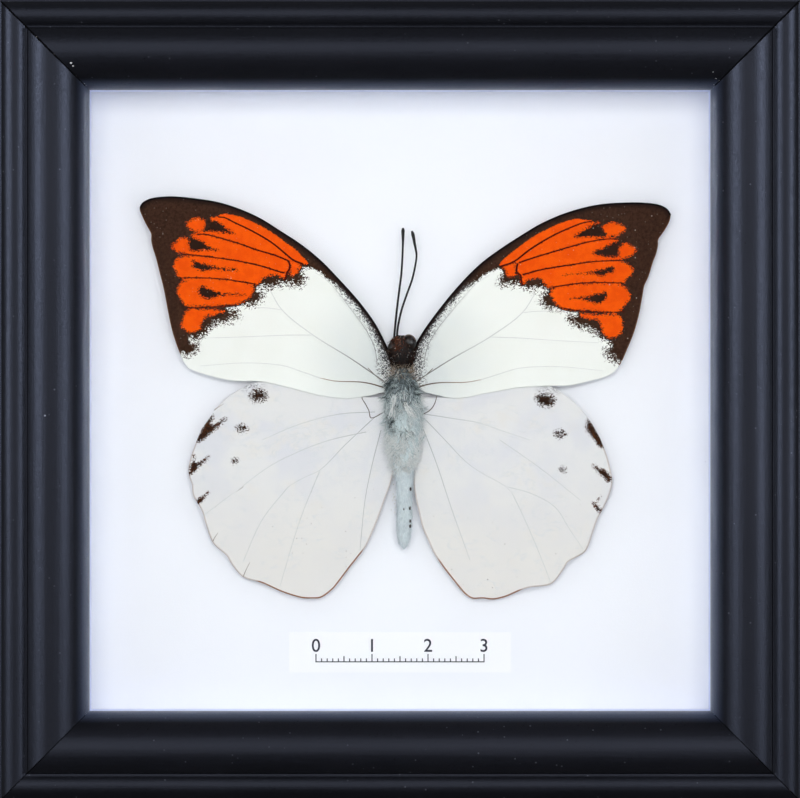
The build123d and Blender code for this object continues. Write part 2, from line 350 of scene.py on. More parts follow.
@dataclass(frozen=True)
class ClearGlass:
    """Thin picture glass with a dulled surface: clear from the front, with a faint reflection at a slant."""

    clear_share: float = 0.036
    dulled: float = 0.7

    def make(self) -> bpy.types.Material:
        """Build the glass."""
        shader = Shader("clear_glass")
        clear = shader.node("BsdfTransparent", {"Color": (0.992, 0.996, 0.995)})
        gloss = shader.node("BsdfGlossy", {"Color": (1.0, 1.0, 1.0), "Roughness": 0.02})
        fresnel = shader.node("Fresnel", {"IOR": 1.45}).outputs[0]
        smear = shader.ramp(shader.noise(35.0, 3.0), 0.3, 0.8, self.dulled * 0.8, self.dulled)
        share = shader.times(shader.most(shader.math("SUBTRACT", fresnel, self.clear_share), 0.0), smear)
        mixed = shader.node("MixShader", {0: share, 1: clear.outputs[0], 2: gloss.outputs[0]})
        return shader.show(mixed.outputs[0])


@dataclass(frozen=True)
class MattCard:
    """Matt white board with a faint fibre and a few specks of dust."""

    name: str
    colour: Colour
    speck: Colour = srgb(120, 118, 135)
    speck_rarity: float = 0.975

    def make(self) -> bpy.types.Material:
        """Build the board's surface."""
        shader = Shader(self.name)
        fibre = shader.noise(3200.0, 4.0, 0.7)
        cloud = shader.noise(45.0, 2.0)
        specks = shader.times(shader.specks(330.0, 0.05, self.speck_rarity), 0.55)
        fine = shader.times(shader.specks(1200.0, 0.12, 0.985), 0.22)
        tint = shader.blend(shader.ramp(cloud, 0.35, 0.65), self.colour, tuple(c * 0.985 for c in self.colour))
        tint = shader.blend(shader.ramp(fibre, 0.3, 0.7, 0.0, 0.25), tint, tuple(c * 0.97 for c in self.colour))
        colour = shader.blend(shader.most(specks, fine), tint, self.speck)
        return shader.finish(
            Base_Color=colour,
            Roughness=shader.ramp(fibre, 0.2, 0.8, 0.82, 0.95),
            Normal=shader.bump(fibre, 0.00002),
            Specular_IOR_Level=0.25,
        )


@dataclass(frozen=True)
class PlainInk:
    """Matt printing ink on paper."""

    colour: Colour = srgb(38, 40, 52)

    def make(self) -> bpy.types.Material:
        """Build the ink."""
        shader = Shader("printed_ink")
        worn = shader.ramp(shader.noise(6000.0, 3.0, 0.7), 0.35, 0.65)
        colour = shader.blend(worn, self.colour, tuple(c * 1.6 for c in self.colour))
        return shader.finish(Base_Color=colour, Roughness=0.8, Specular_IOR_Level=0.2)


@dataclass(frozen=True)
class Hardboard:
    """Smooth brown pressed-fibre board."""

    colour: Colour = srgb(139, 100, 66)
    dark: Colour = srgb(104, 70, 43)
    pale: Colour = srgb(172, 134, 92)

    def make(self) -> bpy.types.Material:
        """Build the board's surface."""
        shader = Shader("hardboard")
        cloud = shader.noise(55.0, 4.0, 0.6)
        chips = shader.noise(900.0, 5.0, 0.7, shader.stretched((1.0, 1.0, 0.35)))
        flecks = shader.specks(1500.0, 0.3, 0.8)
        colour = shader.blend(shader.ramp(cloud, 0.3, 0.7), self.colour, self.dark)
        colour = shader.blend(shader.ramp(chips, 0.5, 0.72), colour, self.pale)
        colour = shader.blend(shader.times(flecks, 0.45), colour, self.dark)
        normal = shader.bump(chips, 0.00004)
        return shader.finish(
            Base_Color=colour, Roughness=shader.ramp(chips, 0.3, 0.7, 0.5, 0.7), Normal=normal
        )


@dataclass(frozen=True)
class PlatedSteel:
    """Sheet or wire steel with a dull plating and fine draw lines."""

    name: str
    colour: Colour
    stain: Colour
    roughness: float = 0.32

    def make(self) -> bpy.types.Material:
        """Build the metal."""
        shader = Shader(self.name)
        lines = shader.noise(2500.0, 3.0, 0.6, shader.stretched((1.0, 1.0, 0.12)))
        bloom = shader.noise(420.0, 4.0, 0.6)
        colour = shader.blend(shader.ramp(bloom, 0.42, 0.75, 0.0, 0.7), self.colour, self.stain)
        rough = shader.add(shader.ramp(bloom, 0.3, 0.8, 0.0, 0.18), self.roughness)
        return shader.finish(
            Base_Color=colour, Metallic=1.0, Roughness=rough, Normal=shader.bump(lines, 0.000012)
        )


@dataclass(frozen=True)
class SoftPad:
    """Matt grey rubber-like pad with a fine pebbled skin."""

    colour: Colour = srgb(96, 98, 103)

    def make(self) -> bpy.types.Material:
        """Build the pad's surface."""
        shader = Shader("soft_pad")
        pebble = shader.noise(3800.0, 3.0, 0.6)
        dust = shader.ramp(shader.noise(300.0, 3.0), 0.45, 0.75, 0.0, 0.3)
        colour = shader.blend(dust, self.colour, srgb(140, 141, 144))
        return shader.finish(Base_Color=colour, Roughness=0.85, Normal=shader.bump(pebble, 0.00004))


@dataclass(frozen=True)
class DriedGlue:
    """Cream filler or glue with a lumpy skin."""

    name: str
    colour: Colour

    def make(self) -> bpy.types.Material:
        """Build the paste."""
        shader = Shader(self.name)
        lumps = shader.noise(3000.0, 3.0, 0.6)
        colour = shader.blend(shader.ramp(lumps, 0.3, 0.7), self.colour, tuple(c * 0.75 for c in self.colour))
        return shader.finish(Base_Color=colour, Roughness=0.6, Normal=shader.bump(lumps, 0.00005))


@dataclass(frozen=True)
class ForewingScales:
    """Powdery wing scales: white, with a dark tip and front band and orange cells between dark veins.

    The mesh's attributes hold distances in millimetres, plus inside a patch and minus outside.
    """

    white: Colour = srgb(243, 246, 241)
    white_cool: Colour = srgb(215, 220, 220)
    orange: Colour = srgb(242, 90, 5)
    orange_deep: Colour = srgb(227, 70, 3)
    brown: Colour = srgb(44, 26, 17)
    brown_pale: Colour = srgb(66, 43, 31)
    black: Colour = srgb(20, 13, 13)
    edge_line: Colour = srgb(12, 8, 9)
    powder: Colour = srgb(150, 150, 156)
    dust: Colour = srgb(196, 190, 186)
    border_fray: float = 2.3
    cell_fray: float = 0.85

    def make(self) -> bpy.types.Material:
        """Build the wing's surface."""
        shader = Shader("forewing_scale")
        fine = shader.noise(4200.0, 3.0, 0.75)
        grit = shader.noise(2300.0, 4.0, 0.8)
        lump = shader.noise(700.0, 3.0, 0.6)
        cloud = shader.noise(160.0, 3.0, 0.6)
        long_scales = shader.stretched((0.72, 1.0, 1.0))
        scales = shader.add(
            shader.times(shader.grains(6800.0, long_scales), 0.7), shader.times(shader.grains(10500.0), 0.3)
        )
        drift = shader.math("SUBTRACT", lump, 0.5)

        base = shader.attribute("mottle")
        wander = shader.add(shader.times(scales, self.border_fray), shader.times(drift, 1.3))
        border = shader.add(shader.attribute("dark"), shader.times(wander, shader.attribute("ragged")))
        dark = shader.ramp(border, -0.02, 0.03)
        dark = shader.most(dark, shader.ramp(shader.attribute("orange"), -0.46, -0.34))
        calm = shader.ramp(shader.attribute("front"), 1.7, 3.6, 0.3 * self.cell_fray, self.cell_fray)
        cell = shader.add(shader.attribute("orange"), shader.times(scales, calm))
        glow = shader.ramp(cell, -0.05, 0.05)
        spot = shader.add(shader.attribute("spot"), shader.times(scales, self.cell_fray))
        eye = shader.ramp(spot, -0.05, 0.05)

        white = shader.blend(shader.ramp(shader.attribute("root"), 3.0, 19.0, 1.0, 0.0), self.white, self.white_cool)
        white = shader.blend(shader.ramp(cloud, 0.4, 0.7, 0.0, 0.35), white, srgb(236, 238, 230))
        white = shader.blend(shader.ramp(fine, 0.3, 0.7, 0.0, 0.12), white, srgb(205, 210, 212))
        behind = shader.times(shader.ramp(shader.attribute("dark"), -1.3, 0.0, 0.0, 0.8), shader.ramp(base, 0.1, 0.4))
        behind = shader.times(behind, shader.ramp(scales, 0.06, 0.16))
        white = shader.blend(behind, white, srgb(104, 104, 108))
        orange = shader.blend(shader.ramp(lump, 0.35, 0.65, 0.0, 0.55), self.orange, self.orange_deep)
        rubbed = shader.times(shader.specks(420.0, 0.11, 0.95), shader.ramp(grit, 0.4, 0.6))
        orange = shader.blend(shader.times(rubbed, 0.5), orange, srgb(255, 176, 120))
        brown = shader.blend(shader.ramp(grit, 0.3, 0.7), self.brown, self.brown_pale)
        brown = shader.blend(shader.ramp(shader.attribute("front"), 0.3, 1.3, 0.7, 0.0), brown, self.black)
        soot = shader.blend(shader.ramp(grit, 0.35, 0.65), srgb(26, 25, 28), srgb(88, 88, 92))
        brown = shader.blend(shader.ramp(base, 0.0, 0.35), brown, soot)
        base_dust = shader.ramp(shader.add(shader.grains(7400.0), base), 0.42, 0.62)
        base_dust = shader.times(base_dust, shader.ramp(base, 0.0, 0.25))
        brown = shader.blend(base_dust, brown, shader.blend(shader.ramp(fine, 0.35, 0.65), self.powder, self.white))
        fringe = shader.ramp(shader.attribute("outer"), 0.1, 0.2, 0.75, 0.0)
        brown = shader.blend(fringe, brown, srgb(116, 76, 50))

        orange = shader.blend(eye, orange, self.brown)
        patch = shader.blend(glow, brown, orange)
        faint_dust = shader.times(shader.specks(1900.0, 0.2, 0.8), 0.2)
        dust = shader.most(faint_dust, shader.times(shader.specks(640.0, 0.085, 0.62), 0.6))
        patch = shader.blend(dust, patch, self.dust)
        colour = shader.blend(dark, white, patch)
        colour = shader.blend(shader.ramp(shader.attribute("front"), 0.3, 0.42, 1.0, 0.0), colour, self.edge_line)
        ribs = shader.noise(5200.0, 2.0, 0.6, shader.stretched((1.0, 1.0, 0.3)))
        normal = shader.bump(ribs, 0.000018)
        normal = shader.bump(grit, 0.00002, over=normal)
        return shader.finish(Base_Color=colour, Roughness=0.85, Normal=normal, Specular_IOR_Level=0.04)


@dataclass(frozen=True)
class HindwingScales:
    """Powdery pale grey-white scales with a few dark marks, a brown rim and fine creases, with painted shade along the
    creases.
    """

    white: Colour = srgb(227, 227, 227)
    lilac: Colour = srgb(220, 221, 226)
    cream: Colour = srgb(227, 224, 219)
    mark: Colour = srgb(34, 21, 15)
    mark_rust: Colour = srgb(88, 47, 20)
    rim: Colour = srgb(142, 92, 60)
    fray: float = 2.0

    def make(self) -> bpy.types.Material:
        """Build the wing's surface."""
        shader = Shader("hindwing_scale")
        fine = shader.noise(4200.0, 3.0, 0.75)
        grit = shader.noise(2300.0, 4.0, 0.8)
        cloud = shader.noise(110.0, 3.0, 0.6)
        haze = shader.noise(260.0, 4.0, 0.6)
        long_scales = shader.stretched((0.72, 1.0, 1.0))
        scales = shader.add(
            shader.times(shader.grains(7200.0, long_scales), 0.6), shader.times(shader.grains(11500.0), 0.4)
        )

        colour = shader.blend(shader.ramp(cloud, 0.38, 0.62), self.white, self.lilac)
        height = shader.node("SeparateXYZ", {0: shader.place}).outputs["Z"]
        colour = shader.blend(shader.ramp(height, 0.04, 0.062, 0.75, 0.0), colour, self.cream)
        colour = shader.blend(shader.ramp(haze, 0.5, 0.72, 0.0, 0.6), colour, self.cream)
        # Painted shade: the crests of a fine crinkle pattern are darkened to bluish grey to stand for the shade in the
        # wing's creases; the same lines also give a faint bump.
        crinkle = shader.noise(380.0, 3.0, 0.55, shader.stretched((0.6, 1.0, 1.0)))
        off_crest = shader.math("ABSOLUTE", shader.math("SUBTRACT", crinkle, 0.5))
        crease = shader.times(shader.ramp(off_crest, 0.0, 0.03, 1.0, 0.0), shader.ramp(haze, 0.38, 0.6))
        colour = shader.blend(shader.times(crease, 0.38), colour, srgb(206, 212, 217))
        colour = shader.blend(shader.ramp(fine, 0.35, 0.7, 0.0, 0.1), colour, srgb(204, 206, 209))
        low_part = shader.ramp(height, 0.034, 0.064, 1.0, 0.12)
        flecks = shader.most(shader.specks(1150.0, 0.13, 0.86), shader.times(shader.specks(640.0, 0.09, 0.8), 1.0))
        stray = shader.times(shader.times(flecks, low_part), shader.ramp(grit, 0.4, 0.6, 0.35, 0.9))
        colour = shader.blend(stray, colour, srgb(112, 98, 86))
        smudge = shader.times(shader.ramp(shader.add(scales, 0.5), 0.5, 0.6), shader.attribute("smudge"))
        colour = shader.blend(smudge, colour, srgb(118, 116, 124))
        rim = shader.times(
            shader.attribute("rim"), shader.ramp(shader.attribute("edge"), 0.14, 0.32, 1.0, 0.0)
        )
        colour = shader.blend(rim, colour, self.rim)
        border = shader.add(
            shader.attribute("mark"), shader.times(shader.times(scales, self.fray), shader.attribute("ragged"))
        )
        rust = shader.times(shader.ramp(shader.add(scales, 0.5), 0.5, 0.8), shader.attribute("rust"))
        mark = shader.blend(rust, self.mark, self.mark_rust)
        colour = shader.blend(shader.ramp(border, -0.03, 0.03), colour, mark)
        normal = shader.bump(crease, 0.00001)
        normal = shader.bump(grit, 0.00002, over=normal)
        return shader.finish(Base_Color=colour, Roughness=0.85, Normal=normal, Specular_IOR_Level=0.06)


@dataclass(frozen=True)
class VeinSkin:
    """Horny skin of a wing vein or leg, which is darker near the body."""

    name: str
    colour: Colour
    worn: Colour
    root: Colour
    root_reach: tuple[float, float] = (4.0 * MM, 16.0 * MM)

    def make(self) -> bpy.types.Material:
        """Build the vein's surface."""
        shader = Shader(self.name)
        grit = shader.noise(2600.0, 3.0, 0.7)
        colour = shader.blend(shader.ramp(grit, 0.35, 0.7), self.colour, self.worn)
        out = shader.math("ABSOLUTE", shader.node("SeparateXYZ", {0: shader.place}).outputs["X"])
        colour = shader.blend(shader.ramp(out, *self.root_reach, 1.0, 0.0), colour, self.root)
        return shader.finish(
            Base_Color=colour, Roughness=0.8, Normal=shader.bump(grit, 0.00001), Specular_IOR_Level=0.04
        )


@dataclass(frozen=True)
class InsectHair:
    """Fine hair whose strands run from a dark shade to a pale one, by their own shade attribute."""

    name: str
    dark: Colour
    middle: Colour
    pale: Colour
    gloss: float = 0.25

    def make(self) -> bpy.types.Material:
        """Build the hair."""
        shader = Shader(self.name)
        shade = shader.attribute("shade")
        colour = shader.blend(shader.ramp(shade, 0.0, 0.5), self.dark, self.middle)
        colour = shader.blend(shader.ramp(shade, 0.5, 1.0), colour, self.pale)
        speckle = shader.ramp(shader.noise(3000.0, 2.0), 0.3, 0.7, 0.0, 0.2)
        colour = shader.blend(speckle, colour, self.dark)
        return shader.finish(
            Base_Color=colour, Roughness=shader.ramp(shade, 0.0, 1.0, 0.6, 0.75), Specular_IOR_Level=self.gloss
        )


@dataclass(frozen=True)
class BodySkin:
    """Scaly insect skin in two shades, with rings across it and dark flecks."""

    name: str
    colour: Colour
    shade: Colour
    fleck: Colour
    rings: float = 0.0
    flecks: float = 0.3
    lower: Colour | None = None
    lower_reach: tuple[float, float] = (66.0 * MM, 72.5 * MM)

    def make(self) -> bpy.types.Material:
        """Build the skin."""
        shader = Shader(self.name)
        cloud = shader.noise(700.0, 4.0, 0.7)
        grit = shader.noise(3400.0, 4.0, 0.75)
        colour = shader.blend(shader.ramp(cloud, 0.35, 0.65), self.colour, self.shade)
        if self.lower:
            height = shader.node("SeparateXYZ", {0: shader.place}).outputs["Z"]
            colour = shader.blend(shader.ramp(height, *self.lower_reach, 1.0, 0.0), colour, self.lower)
        colour = shader.blend(shader.ramp(grit, 0.3, 0.7, 0.0, 0.3), colour, self.shade)
        colour = shader.blend(shader.times(shader.ramp(grit, 0.6, 0.7), self.flecks), colour, self.fleck)
        normal = shader.bump(grit, 0.00005)
        if self.rings:
            bands = shader.node(
                "TexWave", {"Vector": shader.place, "Scale": self.rings, "Distortion": 0.6}, bands_direction="Z"
            ).outputs["Fac"]
            normal = shader.bump(bands, 0.00006, over=normal)
        return shader.finish(Base_Color=colour, Roughness=0.75, Normal=normal, Specular_IOR_Level=0.25)


@dataclass(frozen=True)
class EyeLens:
    """Glossy near-black compound eye with fine facets."""

    colour: Colour = srgb(14, 11, 10)

    def make(self) -> bpy.types.Material:
        """Build the eye's surface."""
        shader = Shader("eye_gloss")
        facets = shader.node("TexVoronoi", {"Vector": shader.place, "Scale": 11000.0}).outputs["Distance"]
        tone = shader.blend(shader.ramp(shader.noise(900.0), 0.4, 0.7), self.colour, srgb(34, 25, 20))
        return shader.finish(
            Base_Color=tone, Roughness=0.3, Normal=shader.bump(facets, 0.00001, 0.6), Specular_IOR_Level=0.22
        )


# ---------------------------------------------------------------------------
# Meshes
# ---------------------------------------------------------------------------


def piece_from(bm: bmesh.types.BMesh, name: str, material: bpy.types.Material, smooth: bool = True) -> bpy.types.Object:
    """Turn a bmesh into a linked object at the origin.

    Args:
        bm: the mesh, in place; it is freed.
        name: the piece's name.
        material: its finish.
        smooth: True to shade its faces smooth.

    Returns:
        The object.
    """
    for face in bm.faces:
        face.smooth = smooth
    mesh = bpy.data.meshes.new(name)
    bm.to_mesh(mesh)
    bm.free()
    mesh.materials.append(material)
    made = bpy.data.objects.new(name, mesh)
    bpy.context.scene.collection.objects.link(made)
    LOG.info("%s: %d faces", name, len(mesh.polygons))
    return made


def sharpen(bm: bmesh.types.BMesh, angle: float = 30.0) -> None:
    """Mark each edge that turns by more than an angle, in degrees, as sharp."""
    limit = math.radians(angle)
    for edge in bm.edges:
        edge.smooth = len(edge.link_faces) == 2 and edge.calc_face_angle(0.0) < limit


def dress(piece: bpy.types.Object, body: str, slot: str, *replaced: str) -> bpy.types.Object:
    """Make a piece ride on a body and stand for CAD nodes."""
    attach(piece, body)
    if replaced:
        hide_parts(*replaced)
    return piece


def arc(centre: Pixel, radius: float, start: float, end: float, steps: int) -> list[Pixel]:
    """Points along an arc, from start to end, in degrees."""
    turns = [math.radians(start + (end - start) * index / steps) for index in range(steps + 1)]
    return [(centre[0] + radius * math.cos(turn), centre[1] + radius * math.sin(turn)) for turn in turns]


def smoothed(points: Outline, closed: bool = False, steps: int = 6) -> np.ndarray:
    """Run a centripetal curve through points.

    Args:
        points: the points to pass through.
        closed: True where the last point joins the first.
        steps: pieces between two points.

    Returns:
        The curve's points, one a row.
    """
    given = np.array(points, float)
    if closed:
        ring = np.vstack([given[-1], given, given[0], given[1]])
    else:
        ring = np.vstack([2 * given[0] - given[1], given, 2 * given[-1] - given[-2]])
    made = []
    for p0, p1, p2, p3 in zip(ring[:-3], ring[1:-2], ring[2:-1], ring[3:]):
        t1 = np.sqrt(np.linalg.norm(p1 - p0)) + 1e-9
        t2 = t1 + np.sqrt(np.linalg.norm(p2 - p1)) + 1e-9
        t3 = t2 + np.sqrt(np.linalg.norm(p3 - p2)) + 1e-9
        for t in np.linspace(t1, t2, steps, endpoint=False):
            a1 = (t1 - t) / t1 * p0 + t / t1 * p1
            a2 = (t2 - t) / (t2 - t1) * p1 + (t - t1) / (t2 - t1) * p2
            a3 = (t3 - t) / (t3 - t2) * p2 + (t - t2) / (t3 - t2) * p3
            b1 = (t2 - t) / t2 * a1 + t / t2 * a2
            b2 = (t3 - t) / (t3 - t1) * a2 + (t - t1) / (t3 - t1) * a3
            made.append((t2 - t) / (t2 - t1) * b1 + (t - t1) / (t2 - t1) * b2)
    made.append(given[0] if closed else given[-1])
    return np.array(made)


def along(curve: np.ndarray, shares: np.ndarray) -> np.ndarray:
    """Points of a curve at shares of its length."""
    lengths = np.concatenate([[0.0], np.cumsum(np.linalg.norm(np.diff(curve, axis=0), axis=1))])
    at = np.asarray(shares) * lengths[-1]
    return np.stack([np.interp(at, lengths, curve[:, 0]), np.interp(at, lengths, curve[:, 1])], axis=-1)


def gap_to(points: np.ndarray, curve: np.ndarray) -> np.ndarray:
    """Distance from each point to a curve."""
    least = np.full(len(points), np.inf)
    for start, end in zip(curve[:-1], curve[1:]):
        run = end - start
        share = np.clip(((points - start) @ run) / max(run @ run, 1e-12), 0.0, 1.0)
        least = np.minimum(least, np.linalg.norm(points - start - share[:, None] * run, axis=1))
    return least


def depth_in(points: np.ndarray, curve: np.ndarray) -> np.ndarray:
    """Distance from each point to a closed curve, plus inside it and minus outside."""
    inside = np.zeros(len(points), bool)
    for (x0, y0), (x1, y1) in zip(curve[:-1], curve[1:]):
        if y0 == y1:
            continue
        crosses = (points[:, 1] < y0) != (points[:, 1] < y1)
        meets = x0 + (points[:, 1] - y0) * (x1 - x0) / (y1 - y0)
        inside ^= crosses & (points[:, 0] < meets)
    return np.where(inside, 1.0, -1.0) * gap_to(points, curve)


def joined_depth(points: np.ndarray, outlines: Iterable[Outline]) -> np.ndarray:
    """Depth in the nearest of several closed outlines."""
    best = np.full(len(points), -1e3)
    for outline in outlines:
        best = np.maximum(best, depth_in(points, smoothed(outline, closed=True)))
    return best


@dataclass(frozen=True)
class PhotoCamera:
    """The photograph's camera: square to the case, a little above its middle."""

    picture_width: float = 800.0
    picture_height: float = 798.0
    sensor: float = 36.0
    lens: float = 155.7
    distance: float = 613.5 * MM
    height: float = 70.26 * MM

    def scale(self, depth: float) -> float:
        """Metres to a pixel on the plane at that depth."""
        return (depth + self.distance) * self.sensor / (self.lens * self.picture_width)

    def at(self, pixel: Sequence[float], depth: float) -> Vector:
        """Where a pixel's line of sight meets the plane at a depth.

        Args:
            pixel: a place in the photograph.
            depth: the plane's Y, in metres.

        Returns:
            The point.
        """
        scale = self.scale(depth)
        across = (pixel[0] - self.picture_width / 2) * scale
        up = (self.picture_height / 2 - pixel[1]) * scale
        return Vector((across, depth, self.height + up))

    def spread(self, pixels: np.ndarray, depths: np.ndarray) -> np.ndarray:
        """The same for many pixels, one a row, each with its depth."""
        scale = (depths + self.distance) * self.sensor / (self.lens * self.picture_width)
        across = (pixels[:, 0] - self.picture_width / 2) * scale
        up = self.height + (self.picture_height / 2 - pixels[:, 1]) * scale
        return np.stack([across, depths, up], axis=1)

    def place(self) -> None:
        """Put the camera in the scene."""
        data = bpy.data.cameras.new("photo_camera")
        data.sensor_width = self.sensor
        data.lens = self.lens
        data.clip_start = 0.05
        data.clip_end = 20.0
        camera = bpy.data.objects.new("photo_camera", data)
        camera.location = (0.0, -self.distance, self.height)
        camera.rotation_euler = (math.pi / 2, 0.0, 0.0)
        bpy.context.scene.collection.objects.link(camera)
        bpy.context.scene.camera = camera


CAMERA = PhotoCamera()


# ---------------------------------------------------------------------------
# The case
# ---------------------------------------------------------------------------


@dataclass
class Moulding:
    """The four mitred lengths of moulding, with the nails and filler at their corners."""

    width: float = 15.4 * MM
    bead_inset: float = 0.45 * MM
    bead_width: float = 4.3 * MM
    bead_rise: float = 0.95 * MM
    bead_setback: float = 1.3 * MM
    quirk_width: float = 0.45 * MM
    torus_radius: float = 6.65 * MM
    shoulder_drop: float = 1.25 * MM
    lip_land: float = 1.15 * MM
    rebate_width: float = 4.9 * MM
    valley_turn: float = 0.8
    valley_wall: float = 0.25 * MM
    valley_fall: float = 0.12 * MM
    shoulder_tilt: float = 27.0
    mitre_gap: float = 0.004 * MM
    arris: float = 0.09 * MM
    nail_sheet: float = 0.6 * MM
    nail_leg: float = 3.0 * MM
    nail_proud: float = 0.08 * MM
    nail_insets: tuple[float, ...] = (2.2 * MM, 6.2 * MM)
    front: float = field(init=False)
    back: float = field(init=False)
    case_size: float = field(init=False)

    def __post_init__(self) -> None:
        """Read the case's depth and size from the frame."""
        low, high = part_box("frame_rail_bottom")
        self.front, self.back = low.y, high.y
        self.case_size = high.x - low.x

    def section(self) -> list[Pixel]:
        """The moulding's outline: depth, and distance from the outer edge."""
        groove = self.front + self.bead_setback + self.bead_rise
        half_bead = self.bead_width / 2
        bead_radius = (half_bead**2 + self.bead_rise**2) / (2 * self.bead_rise)
        bead_centre = (groove - self.bead_rise + bead_radius, self.bead_inset + half_bead)
        bead_turn = math.degrees(math.asin(half_bead / bead_radius))
        torus_start = self.bead_inset + self.bead_width + self.quirk_width
        crest = self.width - self.torus_radius
        run = crest - torus_start
        shoulder_radius = (run**2 + self.shoulder_drop**2) / (2 * self.shoulder_drop)
        tilt = math.radians(self.shoulder_tilt)
        rounded = shoulder_radius * math.sin(tilt)
        shoulder_depth = self.front + shoulder_radius * (1 - math.cos(tilt)) + (run - rounded) * math.tan(tilt)
        back_wall = self.width - self.rebate_width
        lip_back = self.front + self.torus_radius + self.lip_land
        valley = 180 - bead_turn * self.valley_turn
        points = [(groove, 0.0)] + arc(bead_centre, bead_radius, 180 + bead_turn, valley, 24)
        floor = points[-1][0]
        points += [(floor + self.valley_fall, torus_start - self.valley_wall), (shoulder_depth, torus_start)]
        points += arc((self.front + shoulder_radius, crest), shoulder_radius, 180 + self.shoulder_tilt, 180, 16)
        points += arc((self.front + self.torus_radius, crest), self.torus_radius, 180, 90, 40)[1:]
        points += [(lip_back, self.width), (lip_back, back_wall), (self.back, back_wall), (self.back, 0.0)]
        return points

    def surface_at(self, inset: float) -> float:
        """Depth of the torus's face at a distance from the outer edge."""
        crest = self.width - self.torus_radius
        off = min(abs(inset - crest), self.torus_radius)
        return self.front + self.torus_radius - math.sqrt(self.torus_radius**2 - off**2)

    def length(self, name: str, turn: float, material: bpy.types.Material) -> bpy.types.Object:
        """Build one mitred length.

        Args:
            name: the piece's name.
            turn: how far it is turned from the bottom rail's place, in degrees.
            material: its paint.

        Returns:
            The piece.
        """
        half = self.case_size / 2
        bm = bmesh.new()
        ring = [bm.verts.new((-half, depth, inset)) for depth, inset in self.section()]
        face = bm.faces.new(ring)
        swept = bmesh.ops.extrude_face_region(bm, geom=[face])
        bmesh.ops.translate(
            bm, verts=[v for v in swept["geom"] if isinstance(v, bmesh.types.BMVert)], vec=(self.case_size, 0, 0)
        )
        bmesh.ops.remove_doubles(bm, verts=bm.verts[:], dist=1e-7)
        bmesh.ops.recalc_face_normals(bm, faces=bm.faces[:])
        arrises = [e for e in bm.edges if len(e.link_faces) == 2 and e.calc_face_angle(0.0) > math.radians(28)]
        bmesh.ops.bevel(
            bm, geom=arrises, offset=self.arris, offset_type="OFFSET", segments=2, profile=0.5,
            affect="EDGES", material=-1, clamp_overlap=True,
        )
        for sign in (-1, 1):
            cut = bmesh.ops.bisect_plane(
                bm,
                geom=bm.verts[:] + bm.edges[:] + bm.faces[:],
                plane_co=(sign * (half - self.mitre_gap), 0, 0),
                plane_no=(sign, 0, 1),
                clear_outer=True,
            )
            edges = [e for e in cut["geom_cut"] if isinstance(e, bmesh.types.BMEdge)]
            bmesh.ops.holes_fill(bm, edges=edges, sides=0)
        bmesh.ops.recalc_face_normals(bm, faces=bm.faces[:])
        centre = Vector((0.0, 0.0, half))
        bmesh.ops.rotate(bm, verts=bm.verts[:], cent=centre, matrix=Matrix.Rotation(math.radians(turn), 3, "Y"))
        sharpen(bm, 32.0)
        return piece_from(bm, name, material)

    def build_lengths(self) -> None:
        """Build the two rails and two stiles."""
        rail_paint = SatinPaint().make(along_x=True)
        stile_paint = SatinPaint().make(along_x=False)
        places = (
            ("frame_rail_bottom", 0.0, rail_paint),
            ("frame_stile_left", 90.0, stile_paint),
            ("frame_rail_top", 180.0, rail_paint),
            ("frame_stile_right", 270.0, stile_paint),
        )
        for node, turn, paint in places:
            dress(self.length("painted_" + node, turn, paint), CASE_BODY, "black_paint", node)

    def build_nails(self) -> None:
        """Build the V-nails, which stand a touch proud of the back."""
        bm = bmesh.new()
        centre = self.case_size / 2
        for side in (-1, 1):
            for end in (-1, 1):
                for inset in self.nail_insets:
                    self.add_nail(bm, side, end, inset, centre)
        bmesh.ops.recalc_face_normals(bm, faces=bm.faces[:])
        sharpen(bm)
        steel = PlatedSteel("nail_steel", srgb(150, 152, 156), srgb(104, 92, 82), 0.38).make()
        dress(piece_from(bm, "v_nails", steel), CASE_BODY, "nail_steel", "corner_v_nails")

    def add_nail(self, bm: bmesh.types.BMesh, side: int, end: int, inset: float, centre: float) -> None:
        """Add one V-nail at a corner: two legs that meet on the mitre."""
        for leg_x, leg_z in ((1.0, 0.0), (0.0, 1.0)):
            leg = bmesh.ops.create_cube(bm, size=1.0)["verts"]
            size_x = self.nail_leg if leg_x else self.nail_sheet
            size_z = self.nail_leg if leg_z else self.nail_sheet
            bmesh.ops.scale(bm, verts=leg, vec=(size_x, 2 * self.nail_proud, size_z))
            x = side * (centre - inset - size_x / 2)
            z = centre + end * (centre - inset - size_z / 2)
            bmesh.ops.translate(bm, verts=leg, vec=(x, self.back, z))

    def build_filler(self) -> None:
        """Build the specks of filler that show at the mitres."""
        spots = (
            ((71, 63), 0.22), ((73, 66), 0.14), ((86, 85), 0.13), ((84.5, 83.5), 0.1),
            ((714, 84.5), 0.12), ((713, 72), 0.07), ((716, 78.5), 0.08), ((719.5, 80.5), 0.07),
            ((85, 712.5), 0.1),
        )
        bm = bmesh.new()
        for pixel, size in spots:
            inset = self.inset_of(pixel)
            depth = self.surface_at(inset)
            blob = bmesh.ops.create_icosphere(bm, subdivisions=2, radius=size * MM)["verts"]
            bmesh.ops.scale(bm, verts=blob, vec=(1.0, 0.5, 0.8))
            bmesh.ops.translate(bm, verts=blob, vec=CAMERA.at(pixel, depth))
        filler = DriedGlue("mitre_filler", srgb(205, 207, 212)).make()
        dress(piece_from(bm, "mitre_filler", filler), CASE_BODY, "black_paint")

    def face_at(self, inset: float) -> float:
        """Depth of the moulding's face at a distance from the outer edge."""
        faces = [spot for spot in self.section() if spot[0] < self.front + self.torus_radius + self.lip_land]
        depths, insets = zip(*faces)
        return float(np.interp(inset, insets, depths))

